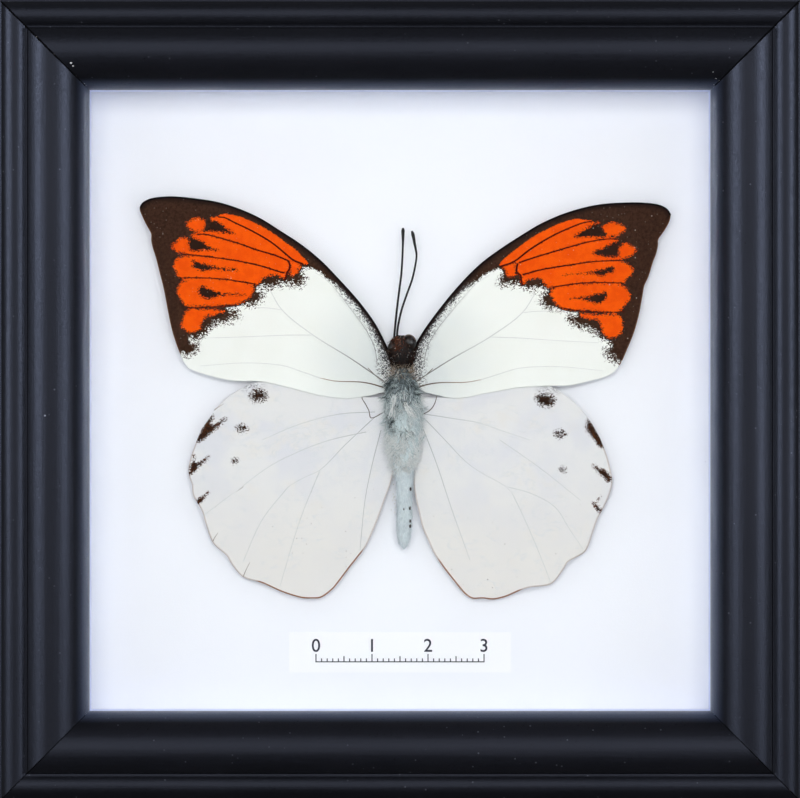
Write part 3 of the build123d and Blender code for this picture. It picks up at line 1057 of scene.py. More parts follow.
    def build_seams(self) -> None:
        """Build the thin line of black paint that fills each mitre."""
        draw = random.Random(31)
        centre = self.case_size / 2
        lines = []
        for side, end in ((-1, 1), (1, 1), (-1, -1), (1, -1)):
            insets = np.linspace(0.4 * MM, self.width - 0.5 * MM, 60)
            depths = np.array([self.face_at(inset) for inset in insets]) + 0.01 * MM
            places = np.stack([side * (centre - insets), depths, centre + end * (centre - insets)], axis=1)
            thick = 0.17 if end > 0 else 0.09
            radii = [thick * draw.uniform(0.75, 1.15) * MM for _ in insets]
            lines.append((places, radii))
        paint = SeamPaint().make()
        dress(cords("mitre_seams", lines, paint, turns=1), CASE_BODY, "black_paint")

    def inset_of(self, pixel: Pixel) -> float:
        """Distance of a pixel's place on the moulding from the case's nearest outer edge."""
        spot = CAMERA.at(pixel, self.front + self.torus_radius / 2)
        return min(self.case_size / 2 - abs(spot.x), self.case_size - spot.z, spot.z)

    def build(self) -> None:
        """Build everything in the frame."""
        self.build_lengths()
        self.build_nails()
        self.build_seams()
        self.build_filler()


@dataclass
class Layers:
    """What lies behind the lip: glass, lining, card, caption strip, pad and back."""

    card_colour: Colour = srgb(245, 247, 253)
    lining_colour: Colour = srgb(226, 232, 255)
    ink_depth: float = 0.015 * MM
    stroke: float = 0.19 * MM
    numeral_size: float = 3.3 * MM

    def paint(self) -> None:
        """Give each flat layer of the frame its finish."""
        card = MattCard("white_card", self.card_colour).make()
        lining = MattCard("white_lining", self.lining_colour, speck_rarity=0.99).make()
        finishes = {
            "front_glass": ClearGlass().make(),
            "mount_card": card,
            "backing_pad": MattCard("filler_card", srgb(196, 164, 122)).make(),
            "back_board": Hardboard().make(),
            "caption_strip": MattCard("caption_paper", srgb(250, 251, 254), speck_rarity=1.0).make(),
        }
        finishes.update({f"lining_{edge}": lining for edge in ("top", "bottom", "left", "right")})
        for node, material in finishes.items():
            repaint(node, material)

    def build_scale_bar(self) -> None:
        """Print a plain ruled bar with numbers on the caption strip."""
        low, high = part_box("caption_strip")
        middle = (low.z + high.z) / 2
        bm = bmesh.new()
        base = middle - 1.75 * MM
        stretch = 30
        for step in range(stretch + 1):
            tall = 1.5 if step % 10 == 0 else 1.1 if step % 5 == 0 else 0.7
            self.add_mark(bm, (step - stretch / 2) * MM, base, self.stroke, tall * MM, low.y)
        self.add_mark(bm, 0.0, base, stretch * MM + self.stroke, self.stroke, low.y)
        ink = PlainInk().make()
        dress(piece_from(bm, "scale_bar", ink, smooth=False), CASE_BODY, "caption_paper")
        for number in range(4):
            place = Vector(((number * 10 - stretch / 2) * MM, low.y, middle + 0.15 * MM))
            dress(self.numeral(str(number), place, ink), CASE_BODY, "caption_paper")

    def add_mark(
        self, bm: bmesh.types.BMesh, x: float, z: float, width: float, height: float, face: float
    ) -> None:
        """Add one printed stroke, standing up from z, on the face at that depth."""
        mark = bmesh.ops.create_cube(bm, size=1.0)["verts"]
        bmesh.ops.scale(bm, verts=mark, vec=(width, self.ink_depth, height))
        bmesh.ops.translate(bm, verts=mark, vec=(x, face - self.ink_depth / 2, z + height / 2))

    def numeral(self, word: str, place: Vector, ink: bpy.types.Material) -> bpy.types.Object:
        """Make one printed number.

        Args:
            word: the number.
            place: the middle of its foot, on the paper's face.
            ink: its finish.

        Returns:
            The piece.
        """
        curve = bpy.data.curves.new("numeral_" + word, "FONT")
        curve.body = word
        curve.size = self.numeral_size
        curve.offset = 0.02 * MM
        curve.align_x = "CENTER"
        curve.extrude = self.ink_depth / 2
        drawn = bpy.data.objects.new("numeral_drawn", curve)
        bpy.context.scene.collection.objects.link(drawn)
        bpy.context.view_layer.update()
        mesh = bpy.data.meshes.new_from_object(drawn.evaluated_get(bpy.context.evaluated_depsgraph_get()))
        bpy.data.objects.remove(drawn)
        stand = Matrix.Translation(place) @ Matrix.Rotation(math.pi / 2, 4, "X")
        mesh.transform(stand @ Matrix.Translation((0, 0, self.ink_depth / 2)))
        mesh.materials.clear()
        mesh.materials.append(ink)
        made = bpy.data.objects.new("numeral_" + word, mesh)
        bpy.context.scene.collection.objects.link(made)
        return made

    def build(self) -> None:
        """Finish the layers and print the strip."""
        self.paint()
        self.build_scale_bar()


def repaint(node: str, material: bpy.types.Material) -> None:
    """Give a shown CAD node a new finish."""
    shown = bpy.data.objects[node]
    shown.data.materials.clear()
    shown.data.materials.append(material)
    LOG.info("%s keeps its shape and gets %s", node, material.name)


@dataclass
class BackFittings:
    """Hanger, turn buttons, screws and wall pads: their shapes stay and get their finish."""

    zinc: PlatedSteel = PlatedSteel("zinc_plate", srgb(190, 192, 194), srgb(150, 148, 142), 0.28)
    wire: PlatedSteel = PlatedSteel("ring_wire", srgb(198, 198, 196), srgb(160, 150, 128), 0.22)

    def build(self) -> None:
        """Finish the fittings."""
        zinc = self.zinc.make()
        nodes = ["hanger_strap", "hanger_rivet", "turn_button_screws"]
        nodes += [f"turn_button_{end}_{side.hand}" for end in ("upper", "lower") for side in Side]
        for node in nodes:
            repaint(node, zinc)
        repaint("hanger_ring", self.wire.make())
        repaint("wall_bumpers", SoftPad().make())
        repaint("glue_pad", DriedGlue("glue", srgb(222, 214, 186)).make())


# ---------------------------------------------------------------------------
# The wings
# ---------------------------------------------------------------------------


@dataclass(frozen=True)
class WingSides:
    """A wing's outline in the photograph: front and rear run outwards from the body, outer from front to rear."""

    front: Outline
    outer: Outline
    rear: Outline


def moved_across(points: Outline) -> list[Pixel]:
    """Carry a place on the left forewing to the same place on the right one.

    Args:
        points: places on the left forewing.

    Returns:
        The places on the right forewing, which sits a little lower and is a little longer.
    """
    left_root, left_tip, left_rear = np.array([(385, 385), (140, 207), (190, 368)], float)
    right_root, right_tip, right_rear = np.array([(415, 385), (670, 214), (613, 373)], float)
    before = np.stack([left_tip - left_root, left_rear - left_root], axis=1)
    after = np.stack([right_tip - right_root, right_rear - right_root], axis=1)
    turned = (after @ np.linalg.inv(before)) @ (np.array(points, float) - left_root).T
    return [tuple(place) for place in turned.T + right_root]


def oval(centre: Pixel, width: float, height: float, turn: float = 0.0) -> list[Pixel]:
    """Eight points round an ellipse, turned by degrees."""
    lean = math.radians(turn)
    made = []
    for index in range(8):
        angle = index * math.pi / 4
        along_x, along_y = width / 2 * math.cos(angle), height / 2 * math.sin(angle)
        made.append((
            centre[0] + along_x * math.cos(lean) - along_y * math.sin(lean),
            centre[1] + along_x * math.sin(lean) + along_y * math.cos(lean),
        ))
    return made


@dataclass(frozen=True)
class Vein:
    """One vein: its route in the photograph and its half-thickness at both ends, in millimetres."""

    route: Outline
    thick: float
    thin: float


@dataclass
class Wing:
    """One spread wing: a thin cambered skin with its veins."""

    side: Side
    kind: str
    sides: WingSides
    depth: float
    across: int
    down: int
    veins: dict[str, list[Vein]]
    sheet_thickness: float = 0.07 * MM
    camber: float = 0.28
    body_line: float = 401.0
    reach: float = 270.0

    @property
    def name(self) -> str:
        """The node that the wing stands for."""
        return f"{self.kind}_{self.side.hand}"

    def lie(self, pixels: np.ndarray) -> np.ndarray:
        """Depth of the wing's face at places in the photograph, in metres."""
        out = np.clip(np.abs(pixels[:, 0] - self.body_line) / self.reach, 0.0, 1.2)
        bow = self.camber * np.sin(np.pi * np.clip(out, 0.0, 1.0))
        wave = 0.035 * np.sin(pixels[:, 0] / 17.0 + pixels[:, 1] / 29.0)
        wave += 0.03 * np.sin(pixels[:, 1] / 13.0 - pixels[:, 0] / 41.0)
        return self.depth - (bow + wave * np.clip(out * 4, 0.0, 1.0)) * MM

    def curves(self) -> tuple[np.ndarray, np.ndarray, np.ndarray, np.ndarray]:
        """The smoothed front, rear, base and outer sides."""
        front, rear, outer = (smoothed(side) for side in (self.sides.front, self.sides.rear, self.sides.outer))
        return front, rear, np.stack([front[0], rear[0]]), outer

    def patch(self, u: np.ndarray, v: np.ndarray) -> np.ndarray:
        """Photograph places of a grid stretched between the four sides."""
        front, rear, base, outer = self.curves()
        u_, v_ = u[:, None], v[:, None]
        ruled = (1 - v_) * along(front, u) + v_ * along(rear, u) + (1 - u_) * along(base, v) + u_ * along(outer, v)
        corners = (1 - u_) * ((1 - v_) * front[0] + v_ * rear[0]) + u_ * ((1 - v_) * front[-1] + v_ * rear[-1])
        return ruled - corners

    def fields(self, pixels: np.ndarray) -> dict[str, np.ndarray]:
        """The skin's attributes at places in the photograph.

        Args:
            pixels: the places, one a row.

        Returns:
            Each attribute's name and values.
        """
        raise NotImplementedError

    def skin(self, material: bpy.types.Material) -> bpy.types.Object:
        """Build the skin.

        Args:
            material: its finish.

        Returns:
            The piece, which stands for the wing's node.
        """
        bm = bmesh.new()
        grid = bmesh.ops.create_grid(bm, x_segments=self.across, y_segments=self.down, size=0.5)["verts"]
        flat = np.array([vert.co.to_tuple() for vert in grid])
        pixels = self.patch(flat[:, 0] + 0.5, flat[:, 1] + 0.5)
        depths = self.lie(pixels)
        for vein in (vein for group in self.veins.values() for vein in group):
            ridge = gap_to(pixels, smoothed(vein.route)) * CAMERA.scale(self.depth) / MM
            depths = depths - 0.035 * MM * np.exp(-((ridge / 0.35) ** 2))
        for vert, spot in zip(grid, CAMERA.spread(pixels, depths)):
            vert.co = Vector(spot)
        bmesh.ops.recalc_face_normals(bm, faces=bm.faces[:])
        if sum(face.normal.y for face in bm.faces) > 0:
            bmesh.ops.reverse_faces(bm, faces=bm.faces[:])
        piece = piece_from(bm, self.name + "_skin", material)
        for name, values in self.fields(pixels).items():
            layer = piece.data.attributes.new(name, "FLOAT", "POINT")
            layer.data.foreach_set("value", np.asarray(values, np.float32))
        solid = piece.modifiers.new("thickness", "SOLIDIFY")
        solid.thickness = self.sheet_thickness
        solid.offset = -1.0
        return dress(piece, CASE_BODY, self.kind + "_scale", self.name)

    def build(self, material: bpy.types.Material, vein_skins: dict[str, bpy.types.Material]) -> None:
        """Build the skin and its veins."""
        self.skin(material)
        for group, veins in self.veins.items():
            lines = []
            for vein in veins:
                pixels = smoothed(vein.route, steps=4)
                places = CAMERA.spread(pixels, self.lie(pixels) - 0.03 * MM)
                radii = np.linspace(vein.thick, vein.thin, len(pixels)) * MM
                lines.append((places, radii))
            piece = cords(f"{self.name}_veins_{group}", lines, vein_skins[group])
            dress(piece, CASE_BODY, self.kind + "_scale")

    def millimetres(self, pixels: np.ndarray) -> np.ndarray:
        """Turn a length in the photograph into millimetres at the wing."""
        return pixels * CAMERA.scale(self.depth) / MM


def cords(
    name: str, lines: Sequence[tuple[np.ndarray, np.ndarray]], material: bpy.types.Material, turns: int = 2
) -> bpy.types.Object:
    """Make round tapering cords along lines, as one mesh.

    Args:
        name: the piece's name.
        lines: each cord's points and its radius at each.
        material: its finish.
        turns: how finely its section is rounded.

    Returns:
        The piece.
    """
    curve = bpy.data.curves.new(name, "CURVE")
    curve.dimensions = "3D"
    curve.bevel_depth = 1.0
    curve.bevel_resolution = turns
    curve.use_fill_caps = True
    for places, radii in lines:
        spline = curve.splines.new("POLY")
        spline.points.add(len(places) - 1)
        for point, place, radius in zip(spline.points, places, radii):
            point.co = (*place, 1.0)
            point.radius = radius
        spline.use_smooth = True
    drawn = bpy.data.objects.new(name + "_drawn", curve)
    bpy.context.scene.collection.objects.link(drawn)
    bpy.context.view_layer.update()
    mesh = bpy.data.meshes.new_from_object(drawn.evaluated_get(bpy.context.evaluated_depsgraph_get()))
    bpy.data.objects.remove(drawn)
    bpy.data.curves.remove(curve)
    mesh.name = name
    mesh.materials.clear()
    mesh.materials.append(material)
    made = bpy.data.objects.new(name, mesh)
    bpy.context.scene.collection.objects.link(made)
    return made


@dataclass(frozen=True)
class ForewingPattern:
    """A forewing's marks in the photograph."""

    dark: Outline
    cells: Sequence[Outline]
    spots: Sequence[Outline]
    mottle: Pixel


@dataclass
class Forewing(Wing):
    """A forewing: white, with a dark tip that holds orange cells."""

    pattern: ForewingPattern | None = None
    mottle_size: float = 78.0
    mottle_share: float = 0.5
    vein_border: float = 0.1
    bridge: float = 2.2

    def fields(self, pixels: np.ndarray) -> dict[str, np.ndarray]:
        """Distances that the forewing's scales are painted by."""
        front, _, _, outer = self.curves()
        near_vein = np.full(len(pixels), np.inf)
        for vein in self.veins["dark"]:
            near_vein = np.minimum(near_vein, gap_to(pixels, smoothed(vein.route)))
        depths = np.sort([depth_in(pixels, smoothed(cell, closed=True)) for cell in self.pattern.cells], axis=0)
        cells = self.millimetres(np.maximum(depths[-1], depths[-1] + depths[-2] + self.bridge))
        from_front = self.millimetres(gap_to(pixels, front))
        root = np.linalg.norm(pixels - np.array(self.sides.front[0]), axis=1)
        mottle = np.linalg.norm((pixels - np.array(self.pattern.mottle)) / self.mottle_size, axis=1)
        open_fray = 0.7 * np.clip((from_front - 2.2) / 2.3, 0.0, 1.0)
        return {
            "dark": self.millimetres(depth_in(pixels, smoothed(self.pattern.dark, closed=True, steps=3))),
            "ragged": 0.3 + np.maximum(open_fray, 0.3 * np.clip(2 * (1.45 - mottle), 0.0, 1.0)),
            "orange": np.minimum(cells, 3 * (self.millimetres(near_vein) - self.vein_border)),
            "spot": self.millimetres(joined_depth(pixels, self.pattern.spots)),
            "root": self.millimetres(root),
            "front": from_front,
            "outer": self.millimetres(gap_to(pixels, outer)),
            "mottle": np.clip(1.35 - mottle, 0.0, self.mottle_share) * np.clip((from_front - 0.35) / 0.9, 0.0, 1.0),
        }


@dataclass(frozen=True)
class HindwingPattern:
    """A hindwing's marks in the photograph."""

    marks: Sequence[Outline]
    smudge: Pixel
    rim: Outline


@dataclass
class Hindwing(Wing):
    """A hindwing: pale, with a few dark marks near its outer edge and a brown rim behind."""

    pattern: HindwingPattern | None = None

    def fields(self, pixels: np.ndarray) -> dict[str, np.ndarray]:
        """Distances that the hindwing's scales are painted by."""
        front, rear, _, outer = self.curves()
        edge = self.millimetres(np.minimum(gap_to(pixels, outer), gap_to(pixels, rear)))
        rim = self.millimetres(gap_to(pixels, smoothed(self.pattern.rim)))
        smudge = np.linalg.norm((pixels - np.array(self.pattern.smudge)) / (14.0, 6.0), axis=1)
        marks = self.millimetres(joined_depth(pixels, self.pattern.marks))
        return {
            "mark": marks,
            "ragged": 0.42 + 0.58 * np.clip((edge - 2.0) / 3.0, 0.0, 1.0) * np.clip((marks + 1.2) / 1.2, 0.0, 1.0),
            "rust": np.clip(1.6 - edge / 4.0, 0.4, 1.0),
            "smudge": 0.8 * np.clip(1.3 - smudge, 0.0, 1.0),
            "rim": np.clip(1.6 - rim, 0.35, 1.0),
            "edge": edge,
        }


# Places in the photograph, read off its wings.

FORE_LEFT_SIDES = WingSides(
    front=[
        (394, 364), (391, 355), (385, 342), (375, 323), (360, 302.5), (340, 280), (320, 259.5), (300, 243.5),
        (280, 230.5), (260, 218), (240, 209), (220, 202.5), (200, 199), (172, 196.3), (155, 197.5), (148.8, 199),
        (142.5, 202.5), (139.8, 206.5),
    ],
    outer=[
        (139.8, 206.5), (139.8, 210), (142.5, 217), (147, 226), (150.6, 232.5), (151.3, 234.5), (151.2, 240),
        (152.5, 247), (156, 258), (159.6, 272.3), (163.6, 288.3), (167.9, 310.6), (171.9, 329.7), (177.5, 347.3),
        (183.5, 361.6), (189, 368.8),
    ],
    rear=[
        (384, 392), (372, 395), (348, 398.5), (320, 395.5), (290, 388), (260, 381.5), (230, 380.5), (200, 373),
        (189, 368.8),
    ],
)
FORE_RIGHT_SIDES = WingSides(
    front=[
        (409, 362), (413, 349), (422, 333), (440, 308), (460, 284), (480, 264), (500, 249), (520, 236),
        (540, 224), (560, 215), (580, 208.5), (600, 204.3), (625, 202.5), (645, 202.7), (660.3, 205),
        (667.5, 209), (671, 214.2),
    ],
    outer=[
        (671, 214.2), (669.5, 221), (665.8, 228.3), (661.4, 234.8), (658.2, 239.7), (658, 245), (656.5, 252.5),
        (652.8, 262.5), (648.4, 276.6), (644.3, 285.8), (642.8, 294), (639.2, 313.4), (633.8, 332.9),
        (626.7, 350.3), (620.2, 364.4), (613.5, 372.5),
    ],
    rear=[
        (420, 391), (432, 394), (455, 398.5), (485, 393.5), (520, 387.5), (550, 386), (570, 385.5), (590, 381),
        (605, 377), (613.5, 372.5),
    ],
)

# The forewings' dark veins, from the outer end inwards: first to fifth from the front, then the short cross vein.
LEFT_FIRST = [
    (217.9, 216.9), (224.8, 217.7), (233.4, 222), (252.3, 231.1), (271.3, 242.3), (287.6, 255.6), (293, 260),
    (303, 264.2),
]
LEFT_SECOND = [
    (197.2, 234.1), (205.8, 234.5), (224.8, 239.3), (245.4, 245.7), (255.8, 249.6), (274.7, 255.2), (288.5, 260.8),
]
LEFT_THIRD = [
    (180, 253.5), (198.9, 255.6), (219.6, 258.2), (242, 261.7), (262.7, 266.4), (279, 271.6), (284.6, 272.9),
]
LEFT_FOURTH = [(180.3, 277.9), (201.5, 277.8), (224.8, 279.3), (242, 281.9), (256, 284.3)]
LEFT_FIFTH = [(185.9, 308.2), (213.8, 306.8), (241.7, 305)]
LEFT_CROSS = [(288.5, 261.2), (289.8, 265.1), (289.3, 269.4), (286.8, 272.6), (286.3, 275.4), (284.6, 280.6)]
RIGHT_FIRST = [
    (592.1, 221.5), (583.8, 222.6), (567.1, 229), (550.5, 236.9), (530.1, 249.4), (513.5, 261.9), (500.5, 266.5),
]
RIGHT_SECOND = [
    (617.1, 239.4), (609.7, 238.8), (592.1, 241.1), (569, 247.1), (550.5, 252.6), (532, 258.2), (519, 262.8),
]
RIGHT_THIRD = [(620.8, 260.3), (596.7, 261.4), (578.2, 263.7), (559.7, 266.5), (541.2, 269.7), (522.7, 274.8)]
RIGHT_FOURTH = [(623.5, 283.1), (596.7, 282.5), (576.4, 283.6), (552.3, 287.3)]
RIGHT_FIFTH = [(624.6, 311.8), (605.1, 312.3), (577.9, 310.7), (560.6, 307.5)]
RIGHT_CROSS = [(517.7, 263.3), (516.7, 267.9), (516.9, 272.5), (520.5, 275.2), (521.4, 281), (522.7, 285)]

FORE_LEFT_DARK_VEINS = [
    Vein(LEFT_FIRST, 0.1, 0.17), Vein(LEFT_SECOND, 0.08, 0.14), Vein(LEFT_THIRD, 0.08, 0.13),
    Vein(LEFT_FOURTH, 0.07, 0.12), Vein(LEFT_FIFTH, 0.07, 0.09), Vein(LEFT_CROSS, 0.17, 0.15),
]
FORE_RIGHT_DARK_VEINS = [
    Vein(RIGHT_FIRST, 0.1, 0.17), Vein(RIGHT_SECOND, 0.08, 0.14), Vein(RIGHT_THIRD, 0.08, 0.13),
    Vein(RIGHT_FOURTH, 0.07, 0.12), Vein(RIGHT_FIFTH, 0.07, 0.09), Vein(RIGHT_CROSS, 0.17, 0.15),
]
FORE_LEFT_PALE_VEINS = [
    Vein([(385, 382), (350, 358), (313, 335), (282, 310), (270, 290)], 0.11, 0.05),
    Vein([(283, 310), (268, 308), (250, 307.5)], 0.05, 0.04),
    Vein([(313, 335), (290, 335), (265, 336), (240, 337), (205, 338)], 0.06, 0.03),
    Vein([(320, 378), (300, 371), (285, 366), (265, 363.5), (240, 363), (200, 366)], 0.06, 0.03),
    Vein([(377.5, 366), (374.3, 347), (365.7, 329.5), (354.3, 313.6), (340, 295), (327, 280.5), (315, 272.5)], 0.05, 0.04),
]
FORE_LEFT_BROWN_VEINS = [
    Vein([(385, 388), (372, 384), (360, 382), (335, 381), (320, 378)], 0.13, 0.06),
    Vein([(368, 368), (376, 376), (385, 382)], 0.07, 0.11),
]
FORE_LEFT_PATTERN = ForewingPattern(
    dark=[
        (314.3, 269.4), (307.4, 267.7), (300.5, 270.3), (304, 273.7), (305.7, 278), (303.1, 281.5), (300.5, 285.8),
        (291, 284.9), (287.6, 283.2), (275.6, 287), (270.4, 288.3), (256, 287.5), (261.6, 291.5), (263.2, 296.2),
        (260, 302.6), (248.9, 305), (229.7, 307.4), (237.7, 310.6), (236.9, 318.6), (221.7, 322.5), (213.8, 324.1),
        (205.8, 333.7), (200.2, 337.7), (191.5, 340), (197.8, 344.9), (197.8, 349.7), (187.5, 356.4), (181.9, 356),
        (168, 366), (120, 330), (115, 180), (250, 180), (350, 240), (410, 340), (400, 392), (386, 384),
        (380.5, 372), (379.5, 360), (378, 349.6), (375, 340.5), (368, 327.2), (360, 314.6), (351.5, 303.3),
        (343.5, 294.2), (333, 283.5), (322, 274),
    ],
    cells=[
        [(221.3, 214.3), (226.5, 213.9), (240.3, 216.9), (254, 222.5), (271.3, 232), (287.6, 244), (295.4, 249.2),
         (302.3, 256.5), (308.3, 263.4), *LEFT_FIRST[::-1]],
        [(211, 218), (215, 217.3), *LEFT_FIRST[:-1], *LEFT_SECOND[::-1], (199, 232.4), (206.5, 231.8), (209, 226),
         (209.5, 221)],
        [(186.5, 223.8), (192.9, 219.5), (198, 217.7), (202.8, 219.5), (205.8, 223.8), (202.8, 230.2),
         (197.2, 231.1), (190.3, 228.9)],
        [(172, 246), (177, 241), (184, 237.5), (189.6, 240), (189.8, 252), (182, 253), (176, 251)],
        [*LEFT_SECOND, *LEFT_CROSS[:4], *LEFT_THIRD[-2:0:-1], (188.6, 254.4), (188, 251.5), (189.5, 241),
         (192, 235.5)],
        [(291, 261.7), (298.8, 263.8), (300.5, 266), (298.4, 270.3), (295.4, 273.7), (291, 275.4), (290.6, 269)],
        [(173.9, 266), (176.3, 260.4), (180.3, 257.6), (189, 256.6), *LEFT_THIRD[1:], (284.2, 278), (282.4, 278.9),
         (279, 275.4), (266.1, 276.3), (259.2, 282.3), *LEFT_FOURTH[::-1], (175.5, 270)],
        [(177.5, 291.5), (178.7, 286.7), (181.9, 281.9), (187.5, 279.9), *LEFT_FOURTH[1:4], (250.4, 284.7),
         (254, 288.3), (248.9, 297.8), (243.3, 301), (234.5, 304.2), (221.7, 305.4), (191.5, 306.2), (185.1, 305),
         (179.5, 296.2)],
        [(184.3, 316.2), (185.5, 312.2), (189, 309.4), (194.6, 308.8), (210.6, 309.4), (224.1, 311), (218.6, 313),
         (212.2, 315), (207.4, 315.4), (201, 323.3), (201, 327.3), (197, 330.5), (191.5, 332.5), (181.9, 326.5)],
    ],
    spots=[
        [(209.3, 219.5), (211.9, 221.2), (217, 222), (222.2, 224.2), (225.6, 227.6), (234.2, 233.2), (228.2, 233),
         (214.4, 231.5), (207.5, 230.2), (206.3, 226)],
        [(189.5, 237.5), (195.5, 238.8), (205.8, 243.6), (210.1, 247), (218.7, 249.6), (205.8, 250),
         (190.3, 250)],
        [(192.5, 260.8), (202.4, 263.4), (214.4, 266.4), (240.3, 270.3), (223, 269.8), (214.4, 269.4),
         (208.4, 270.3), (200.7, 271.1), (197.2, 268.5), (192, 266.4), (194.2, 263.8)],
        [(201, 286.3), (205.8, 287.5), (215.4, 291), (221.7, 293), (245.7, 295), (221.7, 295.4), (215.4, 297),
         (209, 298.6), (204.2, 297.8), (198.6, 291.9)],
    ],
    mottle=(379, 366),
)
FORE_RIGHT_PATTERN = ForewingPattern(
    dark=[
        (500.5, 267.9), (503.3, 269.7), (500.5, 275.3), (498.7, 281.8), (502.4, 285.5), (508.9, 285.9),
        (516.3, 284.5), (522.7, 286.4), (528.3, 289.2), (546.5, 289.6), (542.2, 295), (541.6, 301.5),
        (546.5, 306.9), (556.3, 308.5), (575.8, 311.8), (568.2, 317.2), (571.4, 322.6), (580.1, 327.5),
        (588.8, 329.1), (594.2, 334), (609.4, 344.9), (605.1, 349.2), (606.1, 353.5), (611.6, 360), (620.2, 363.3),
        (634, 372), (690, 340), (700, 185), (560, 180), (480, 220), (395, 340), (404, 390), (420, 384),
        (422.5, 372), (423.5, 360), (425.5, 349), (429.5, 338), (437, 324), (446, 311), (457, 298.5),
        (471, 285.5), (484, 275), (495, 269.7),
    ],
    cells=[
        [(499.2, 265.1), (503.3, 259.6), (509.8, 254), (530.1, 238.8), (540.3, 232.7), (559.7, 223.5),
         (575.5, 218.9), (586.1, 220.3), *RIGHT_FIRST],
        [(598.1, 221.6), (595, 223), *RIGHT_FIRST[:-1], *RIGHT_SECOND[::-1], (606, 236.9), (601, 233), (600, 226)],
        [(601.3, 227.7), (606, 224.9), (610.6, 222.6), (615.2, 223), (625.4, 228.1), (619.8, 234.1), (608.7, 236),
         (606, 234.6)],
        [(618.9, 249.4), (620.8, 245.7), (625.4, 243.4), (629.1, 244.8), (636.5, 250.3), (628.2, 256.8),
         (620.8, 258.2)],
        [*RIGHT_SECOND, *RIGHT_CROSS[:4], *RIGHT_THIRD[::-1], (618, 257), (618.5, 242)],
        [(503.8, 267.9), (508.9, 265.1), (515.8, 264.6), (515.3, 268.8), (515.8, 273.4), (513.5, 276.7),
         (508.9, 276.2), (506.1, 272.5)],
        [(620.8, 261.6), (626.3, 263.3), (632.8, 269.7), (630.9, 275.3), (626.3, 279), *RIGHT_FOURTH,
         (546.8, 285.5), (543.1, 282.7), (541.2, 279), (535.7, 278.5), (528.3, 279.4), (522.7, 284.1),
         (521.4, 279), *RIGHT_THIRD[::-1]],
        [(630, 298.2), (628.9, 291.7), (624.6, 286.9), (615.9, 284.7), (605, 283.4), (589.9, 283.6), (574.7, 284.7),
         (554.1, 289), (550.3, 293.9), (553, 298.2), (556.3, 303.7), (561.7, 307.5), (572.5, 309.6), (589.9, 310.2),
         (618.1, 311.8), (626.7, 302.6)],
        [(620.2, 316.7), (609.4, 315), (599.1, 315), (580.1, 314.5), (587.7, 318.8), (598.5, 319.9),
         (601.8, 327.5), (604, 334), (609.4, 337.8), (618.1, 335.1), (622.4, 329.7)],
    ],
    spots=[
        [(598.6, 223.5), (593, 224.4), (588.4, 227.2), (574.5, 236.9), (583.8, 236.9), (593, 237.2), (605, 236.4),
         (604.1, 231.8)],
        [(618.9, 241.5), (610.6, 244.3), (604.1, 247.5), (593, 252.6), (597.6, 254.9), (617.1, 255.9),
         (618.9, 246.6)],
        [(613.8, 266), (604.1, 268.8), (587.5, 272.5), (563.4, 275.3), (585.6, 273.4), (593, 273.9),
         (598.6, 275.3), (604.1, 275.7), (607.8, 273.4), (613.4, 271.1)],
        [(605.6, 291.7), (600.7, 293.4), (594.2, 294.4), (588.8, 296.6), (570.4, 298.5), (581.2, 298.8),
         (589.9, 301.5), (599.1, 303.7), (604, 300.4), (606.7, 296.6)],
    ],
    mottle=(424, 366),
)

HIND_LEFT_SIDES = WingSides(
    front=[
        (386, 398), (350, 396), (310, 390), (280, 384), (258, 382), (240, 389), (221, 403), (208, 420), (202, 428),
    ],
    outer=[
        (202, 428), (195, 445), (190, 460), (188.5, 468), (189, 476), (192, 485), (193, 495), (202, 511),
        (206, 525), (213, 543), (219, 549), (227, 556), (231, 563), (243, 577), (262, 583), (282, 592), (302, 598),
        (312, 598.5), (320, 598), (327, 594), (334, 588),
    ],
    rear=[
        (386, 425), (390, 440), (392, 455), (393, 472), (390, 485), (385, 499), (379, 516), (372, 533),
        (366, 546), (358, 557), (350, 567), (341, 579), (334, 588),
    ],
)
HIND_RIGHT_SIDES = WingSides(
    front=[
        (418, 398), (450, 397), (490, 390), (520, 385), (547, 385), (565, 395), (581, 409), (594, 427), (600, 438),
    ],
    outer=[
        (600, 438), (607, 456), (611, 472), (612.5, 480), (611, 490), (604, 507), (598, 518), (592, 535),
        (589, 544), (585, 552), (577, 557), (568, 562), (563, 570), (551, 584), (527, 588), (505, 597), (493, 599.5),
        (483, 598.5), (472, 598.5), (465, 594), (458, 586),
    ],
    rear=[
        (420, 420), (416, 440), (413, 460), (413, 475), (414, 488), (416, 500), (419, 513), (422, 526), (428, 540),
        (434, 553), (441, 564), (450, 576), (458, 586),
    ],
)
HIND_LEFT_PATTERN = HindwingPattern(
    marks=[
        oval((258.5, 395.5), 17, 12, -8), oval((241.3, 428.5), 11, 6.5), oval((234.8, 461), 4.5, 4),
        oval((194, 457), 5, 1.6, 60),
        [(196.5, 441.5), (199, 434), (203.5, 426), (209, 417.5), (213, 414.5), (212.3, 420), (210.5, 424.5),
         (214, 424.5), (221, 420.5), (225.5, 418.7), (219.5, 425.5), (211, 433), (204, 439), (198.5, 442.5)],
        [(189, 474), (190, 466), (193, 461), (198, 462), (209, 456), (205, 461), (199, 467), (192, 474)],
        [(196.5, 503), (198, 498), (203, 496), (209, 491.5), (205.5, 497), (199, 504)],
    ],
    smudge=(250, 386),
    rim=[(262, 583), (282, 592), (302, 598), (320, 598), (334, 588), (350, 567), (360, 555)],
)
